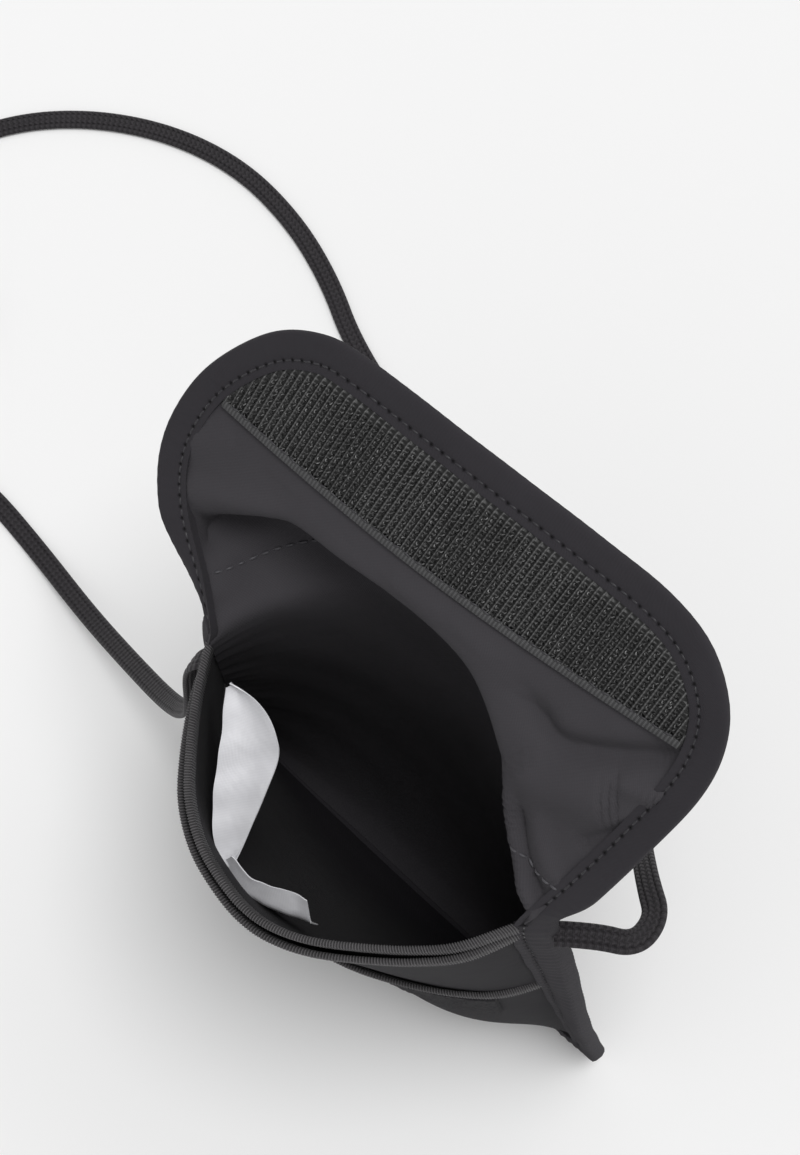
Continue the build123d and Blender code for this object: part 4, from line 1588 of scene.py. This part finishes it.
@dataclass
class NeckCord:
    """The flat braided cord: out of both mouth corners, with its spare length in a tied coil."""

    width: float = 6.0
    thickness: float = 1.6
    rows: int = 4
    lie: float = 0.95
    coil_centre: tuple[float, float] = (-243.5, 15.5)
    coil_radius: float = 27.5
    coil_turns: float = 10 / 3
    coil_start: float = -60.0
    turn_points: int = 14

    def left_route(self) -> list[tuple[float, float, float]]:
        """From the left mouth corner, down and along the floor to the coil."""
        lie = self.lie
        return [
            (-50.0, -0.8, 129.0), (-53.0, -3.6, 127.0), (-55.0, -5.6, 116.0), (-56.5, -7.8, 98.0),
            (-59.5, -10.5, 74.0), (-72.0, -11.5, 47.0), (-97.0, -9.5, 24.0), (-122.0, -7.0, 8.0),
            (-148.0, -3.0, lie), (-174.0, 0.0, lie), (-200.0, -2.0, lie), (-216.0, -5.5, lie),
        ]

    def right_route(self) -> list[tuple[float, float, float]]:
        """From the right mouth corner, behind the pouch and along the floor to the coil."""
        lie = self.lie
        return [
            (54.5, 5.0, 137.5), (61.5, 11.0, 137.0), (69.5, 15.5, 135.5), (68.5, 24.0, 131.5),
            (62.0, 28.5, 125.5), (55.5, 34.0, 115.0), (46.0, 43.0, 93.0), (35.0, 53.0, 60.0),
            (21.0, 65.0, 27.0),
            (-2.0, 77.0, 7.0), (-28.0, 85.0, lie), (-62.0, 91.0, lie), (-96.0, 99.0, lie),
            (-124.0, 107.0, lie), (-143.0, 117.0, lie), (-165.0, 124.0, lie), (-190.0, 126.0, lie),
            (-215.0, 120.0, lie), (-238.0, 107.0, lie), (-256.0, 89.0, lie), (-267.0, 66.0, lie),
            (-271.0, 41.0, lie),
        ]

    def coil(self) -> list[tuple[float, float, float]]:
        """The coil's turns, clockwise: two side by side on the floor, and the rest on them."""
        count = int(self.coil_turns * self.turn_points)
        made = []
        for k in range(count + 1):
            share = k / count
            angle = math.radians(self.coil_start - 360 * self.coil_turns * share)
            turn = self.coil_turns * share
            inward = 1 - abs(2 * ((turn / 1.9) % 1) - 1)
            radius = self.coil_radius + 3.1 - 5.9 * inward
            rise = self.lie + 2.2 * float(ease(turn, 1.1, 1.9))
            rise -= 2.0 * float(ease(turn, self.coil_turns - 0.25, self.coil_turns))
            made.append(
                (
                    self.coil_centre[0] + radius * math.cos(angle),
                    self.coil_centre[1] + radius * math.sin(angle),
                    rise,
                )
            )
        return made

    def line(self) -> np.ndarray:
        """The cord's smooth centreline, in metres."""
        points = [*self.left_route(), *self.coil(), *self.right_route()[::-1]]
        curve = bpy.data.curves.new("cord_route", "CURVE")
        curve.dimensions = "3D"
        spline = curve.splines.new("NURBS")
        spline.points.add(len(points) - 1)
        for point, place in zip(spline.points, points):
            point.co = (*(Vector(place) * MM), 1.0)
        spline.order_u = 3
        spline.use_endpoint_u = True
        spline.resolution_u = 14
        carrier = bpy.data.objects.new("cord_route", curve)
        mesh = bpy.data.meshes.new_from_object(carrier)
        line = np.array([v.co for v in mesh.vertices], float)
        bpy.data.meshes.remove(mesh)
        bpy.data.objects.remove(carrier)
        bpy.data.curves.remove(curve)
        if np.linalg.norm(line[0] - np.array(points[0]) * MM) > 1e-4:
            line = line[::-1]
        return line

    def faces_up(self, line: np.ndarray) -> np.ndarray:
        """The flat side's direction along the line: up on the floor, and outwards where it hangs."""
        along = unit(np.gradient(line, axis=0))
        z = line[:, 2] / MM
        tilt = ease(z, 4, 40) * (1 - 0.85 * ease(z, 122, 134))
        wanted = np.stack([-tilt, 0 * tilt, np.ones_like(tilt)], axis=1)
        wanted -= (wanted * along).sum(1, keepdims=True) * along
        wanted = unit(wanted)
        for _ in range(60):
            wanted[1:-1] = unit(wanted[:-2] + 2 * wanted[1:-1] + wanted[2:])
        wanted -= (wanted * along).sum(1, keepdims=True) * along
        return unit(wanted)

    def build(self) -> bpy.types.Object:
        """Make the cord as a flat tube of braided rows."""
        line = self.line()
        along = unit(np.gradient(line, axis=0))
        up = self.faces_up(line)
        across = np.cross(along, up)
        count = 12 * self.rows
        share = np.linspace(0, 2 * math.pi, count, endpoint=False)
        flat_x = np.sign(np.cos(share)) * np.abs(np.cos(share)) ** 0.75
        flat_y = np.sign(np.sin(share)) * np.abs(np.sin(share)) ** 0.75
        half_wide = self.width / 2
        half_thick = self.thickness / 2
        row = np.abs(np.cos(flat_x * self.rows * math.pi / 2))
        relief = 1 - 0.45 * row**6
        x = flat_x * half_wide
        y = flat_y * half_thick * relief
        points = (
            line[:, None] / MM + across[:, None] * x[None, :, None] + up[:, None] * y[None, :, None]
        )
        points = np.concatenate([points, points[:, :1]], axis=1)
        distance = np.concatenate([[0], np.cumsum(np.linalg.norm(np.diff(line, axis=0), axis=1))]) / MM
        rows_across = np.append(flat_x, flat_x[0]) * self.rows / 2
        flat = np.stack(np.broadcast_arrays(rows_across[None, :], distance[:, None]), axis=-1)
        cord = laid_grid("neck_cord", points, flat, close_round=True)
        close_ends(cord)
        turn_outwards(cord)
        smooth(cord, 60)
        fit(cord, Finish.CORD, ["cord_left", "cord_right", "cord_coil"])
        tie = frame["nodes"]["coil_tie"]
        tie.data.materials.clear()
        tie.data.materials.append(Finish.ELASTIC.material())
        log.info("neck_cord: %.3f m", distance[-1] * MM)
        return cord


# ---- studio ----------------------------------------------------------------------------------------------


@dataclass
class Studio:
    """Camera, floor and soft light."""

    azimuth: float = 59.46
    elevation: float = 73.26
    roll: float = -16.89
    lens: float = 75.5
    place: tuple[float, float, float] = (112.5, -40.5, 678.2)
    floor_size: float = 6.0
    room_light: float = 0.50
    key_from: tuple[float, float, float] = (0.17, 0.15, 1.0)
    back_from: tuple[float, float, float] = (0.20, 0.90, 1.0)

    def camera(self) -> None:
        """Look down on the pouch from its front right."""
        a, e, r = (math.radians(v) for v in (self.azimuth, self.elevation, self.roll))
        right = Vector((math.cos(a), math.sin(a), 0))
        back = Vector((math.sin(a) * math.cos(e), -math.cos(a) * math.cos(e), math.sin(e)))
        up = back.cross(right)
        image_x = right * math.cos(r) + up * math.sin(r)
        image_y = up * math.cos(r) - right * math.sin(r)
        data = bpy.data.cameras.new("Camera")
        data.lens = self.lens
        data.sensor_width = 36
        data.clip_start = 0.05
        data.clip_end = 20
        camera = bpy.data.objects.new("Camera", data)
        bpy.context.scene.collection.objects.link(camera)
        turn = Matrix((image_x, image_y, back)).transposed().to_4x4()
        camera.matrix_world = Matrix.Translation(Vector(self.place) * MM) @ turn
        bpy.context.scene.camera = camera

    def floor(self) -> None:
        """A pale floor."""
        clear_selection()
        bpy.ops.mesh.primitive_plane_add(size=self.floor_size, location=(0, 0, 0))
        floor = bpy.context.object
        floor.name = "floor"
        bpy.ops.object.transform_apply(location=True, rotation=True, scale=True)
        floor.data.materials.append(Finish.FLOOR.material())

    def lamp(self, name: str, towards: Sequence[float], spread: float, strength: float) -> None:
        """A large, far, soft light, the same all over the floor.

        Args:
            name: the light's name.
            towards: the direction that it shines from.
            spread: how large it looks, in degrees.
            strength: its strength.
        """
        data = bpy.data.lights.new(name, "SUN")
        data.angle = math.radians(spread)
        data.energy = strength
        lamp = bpy.data.objects.new(name, data)
        bpy.context.scene.collection.objects.link(lamp)
        lamp.location = Vector(towards) * 2
        lamp.rotation_mode = "QUATERNION"
        lamp.rotation_quaternion = Vector(towards).to_track_quat("Z", "Y")

    def light(self) -> None:
        """An even white room with a large soft light above and a weaker one behind."""
        world = bpy.data.worlds.new("World")
        bpy.context.scene.world = world
        world.use_nodes = True
        sky = world.node_tree.nodes["Background"]
        sky.inputs[0].default_value = (1.0, 1.0, 1.0, 1.0)
        sky.inputs[1].default_value = self.room_light
        self.lamp("key", self.key_from, spread=26.0, strength=1.50)
        self.lamp("back", self.back_from, spread=45.0, strength=0.30)
        bpy.context.scene.view_settings.view_transform = "Standard"

    def build(self) -> None:
        """Set the stage."""
        self.camera()
        self.floor()
        self.light()


# ---- the whole -------------------------------------------------------------------------------------------


@dataclass
class LiningSeam:
    """The seam that ends the pouch's lining, across the foot of the flap."""

    back: BackAndFlap
    left: float = 11.5
    height: float = 15.0

    def lines(self, cloth: Cloth) -> list[tuple[np.ndarray, np.ndarray]]:
        """The seam's points on the lining and their outward directions."""
        f = self.back.form
        rise = cloth.flat[..., 1] - f.height
        surface = cloth.offset(0.62)
        made, outs = [], []
        for k in range(4, self.back.columns - 4):
            rows = slice(self.back.body_rows - 1, None)
            up = rise[rows, k]
            height = self.left + (self.height - self.left) * k / self.back.columns
            made.append([np.interp(height, up, surface[rows, k, i]) for i in range(3)])
            outs.append([np.interp(height, up, cloth.normals[rows, k, i]) for i in range(3)])
        return [(np.array(made), np.array(outs))]


@dataclass
class Pouch:
    """The whole neck pouch."""

    form: PouchForm = field(default_factory=PouchForm)

    def front(self) -> list[FrontLayer]:
        """The three cloths of the front, from the inside out."""
        f = self.form
        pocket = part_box("front_pocket_edge_tape")[1].z / MM
        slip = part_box("slip_pocket_edge_tape")[1].z / MM
        rows = (
            ("front_wall", "mouth_tape", f.height, 0.0, 0.0, "front_panel", "mouth_edge_tape"),
            ("slip_pocket_wall", "slip_pocket_tape", slip, 1.3, 1.8, "slip_pocket_panel",
             "slip_pocket_edge_tape"),
            ("lower_pocket_wall", "lower_pocket_tape", pocket, 2.3, 0.3, "front_pocket_panel",
             "front_pocket_edge_tape"),
        )
        shapes = ({"tape_inner": 7.5}, {"lean": 0.6}, {"lean": 2.6, "belly": 5.0})
        return [FrontLayer(f, *row, **shape) for row, shape in zip(rows, shapes)]

    def build(self) -> None:
        """Make every piece."""
        f = self.form
        cord = NeckCord()
        cord.build()
        back = BackAndFlap(f)
        cloth = back.cloth()
        shell, lining = back.build(cloth)
        layers = self.front()
        walls = [layer.build() for layer in layers]
        binding = EdgeBinding(f)
        binding.build()
        sewing = Stitching()
        edge_stitches = sewing.run("binding_stitches", binding.stitch_lines(), by_rings=True)
        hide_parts("body_stitching", "flap_stitching")
        bend(edge_stitches, f)
        seam = sewing.run("lining_seam_stitches", LiningSeam(back).lines(cloth), Finish.PALE_THREAD)
        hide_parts("lining_seam_stitching")
        bend(seam, f)
        strip = HookStrip(f)
        strip.tape()
        strip.selvedge_band()
        strip.hooks()
        strip_stitches = Stitching(pitch=3.1, thread=0.3).run(
            "hook_tape_stitches", strip.stitch_lines(), Finish.THREAD
        )
        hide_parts("hook_strip_stitching")
        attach(strip_stitches, "flap")
        LoopStrip(layers[2]).build()
        self.label()
        self.declare()

    def label(self) -> None:
        """The two leaves of the care label, in the left side seam."""
        LabelLeaf(
            "care_label_upper", "care_label_leaf_1",
            (
                ((-39.5, -4.4, 138), (-33.4, -12.8, 134), (-26.5, -23.4, 129.5), (-19.8, -31.0, 126),
                 (-13.6, -34.6, 123)),
                ((-39.0, -3.2, 139.5), (-31.0, -1.9, 139), (-22.8, -4.4, 137.5), (-18.0, -11.5, 133.5),
                 (-12.2, -32.2, 124)),
            ),
        ).build()
        LabelLeaf(
            "care_label_lower", "care_label_leaf_2",
            (
                ((-16.0, -33.0, 110), (-8.0, -35.0, 109.5), (0.4, -32.6, 109), (9.0, -28.6, 109)),
                ((-15.6, -34.4, 122), (-8.0, -36.4, 121.5), (0.6, -34.0, 121), (9.6, -29.8, 120)),
                ((-13.5, -31.2, 126.5), (-6.0, -31.6, 126), (1.8, -28.0, 125.5), (6.2, -26.6, 125)),
            ),
            wave=0.3,
        ).build()

    def declare(
        self,
    ) -> None:
        """Work out a cut length for the cloth, which is not used."""
        f = self.form
        long = (f.height + 85.0) * MM


def main() -> None:
    """Build the pouch and its studio."""
    logging.basicConfig(level=logging.INFO, format="%(message)s")
    Studio().build()
    Pouch().build()


if __name__ == "__main__":
    main()
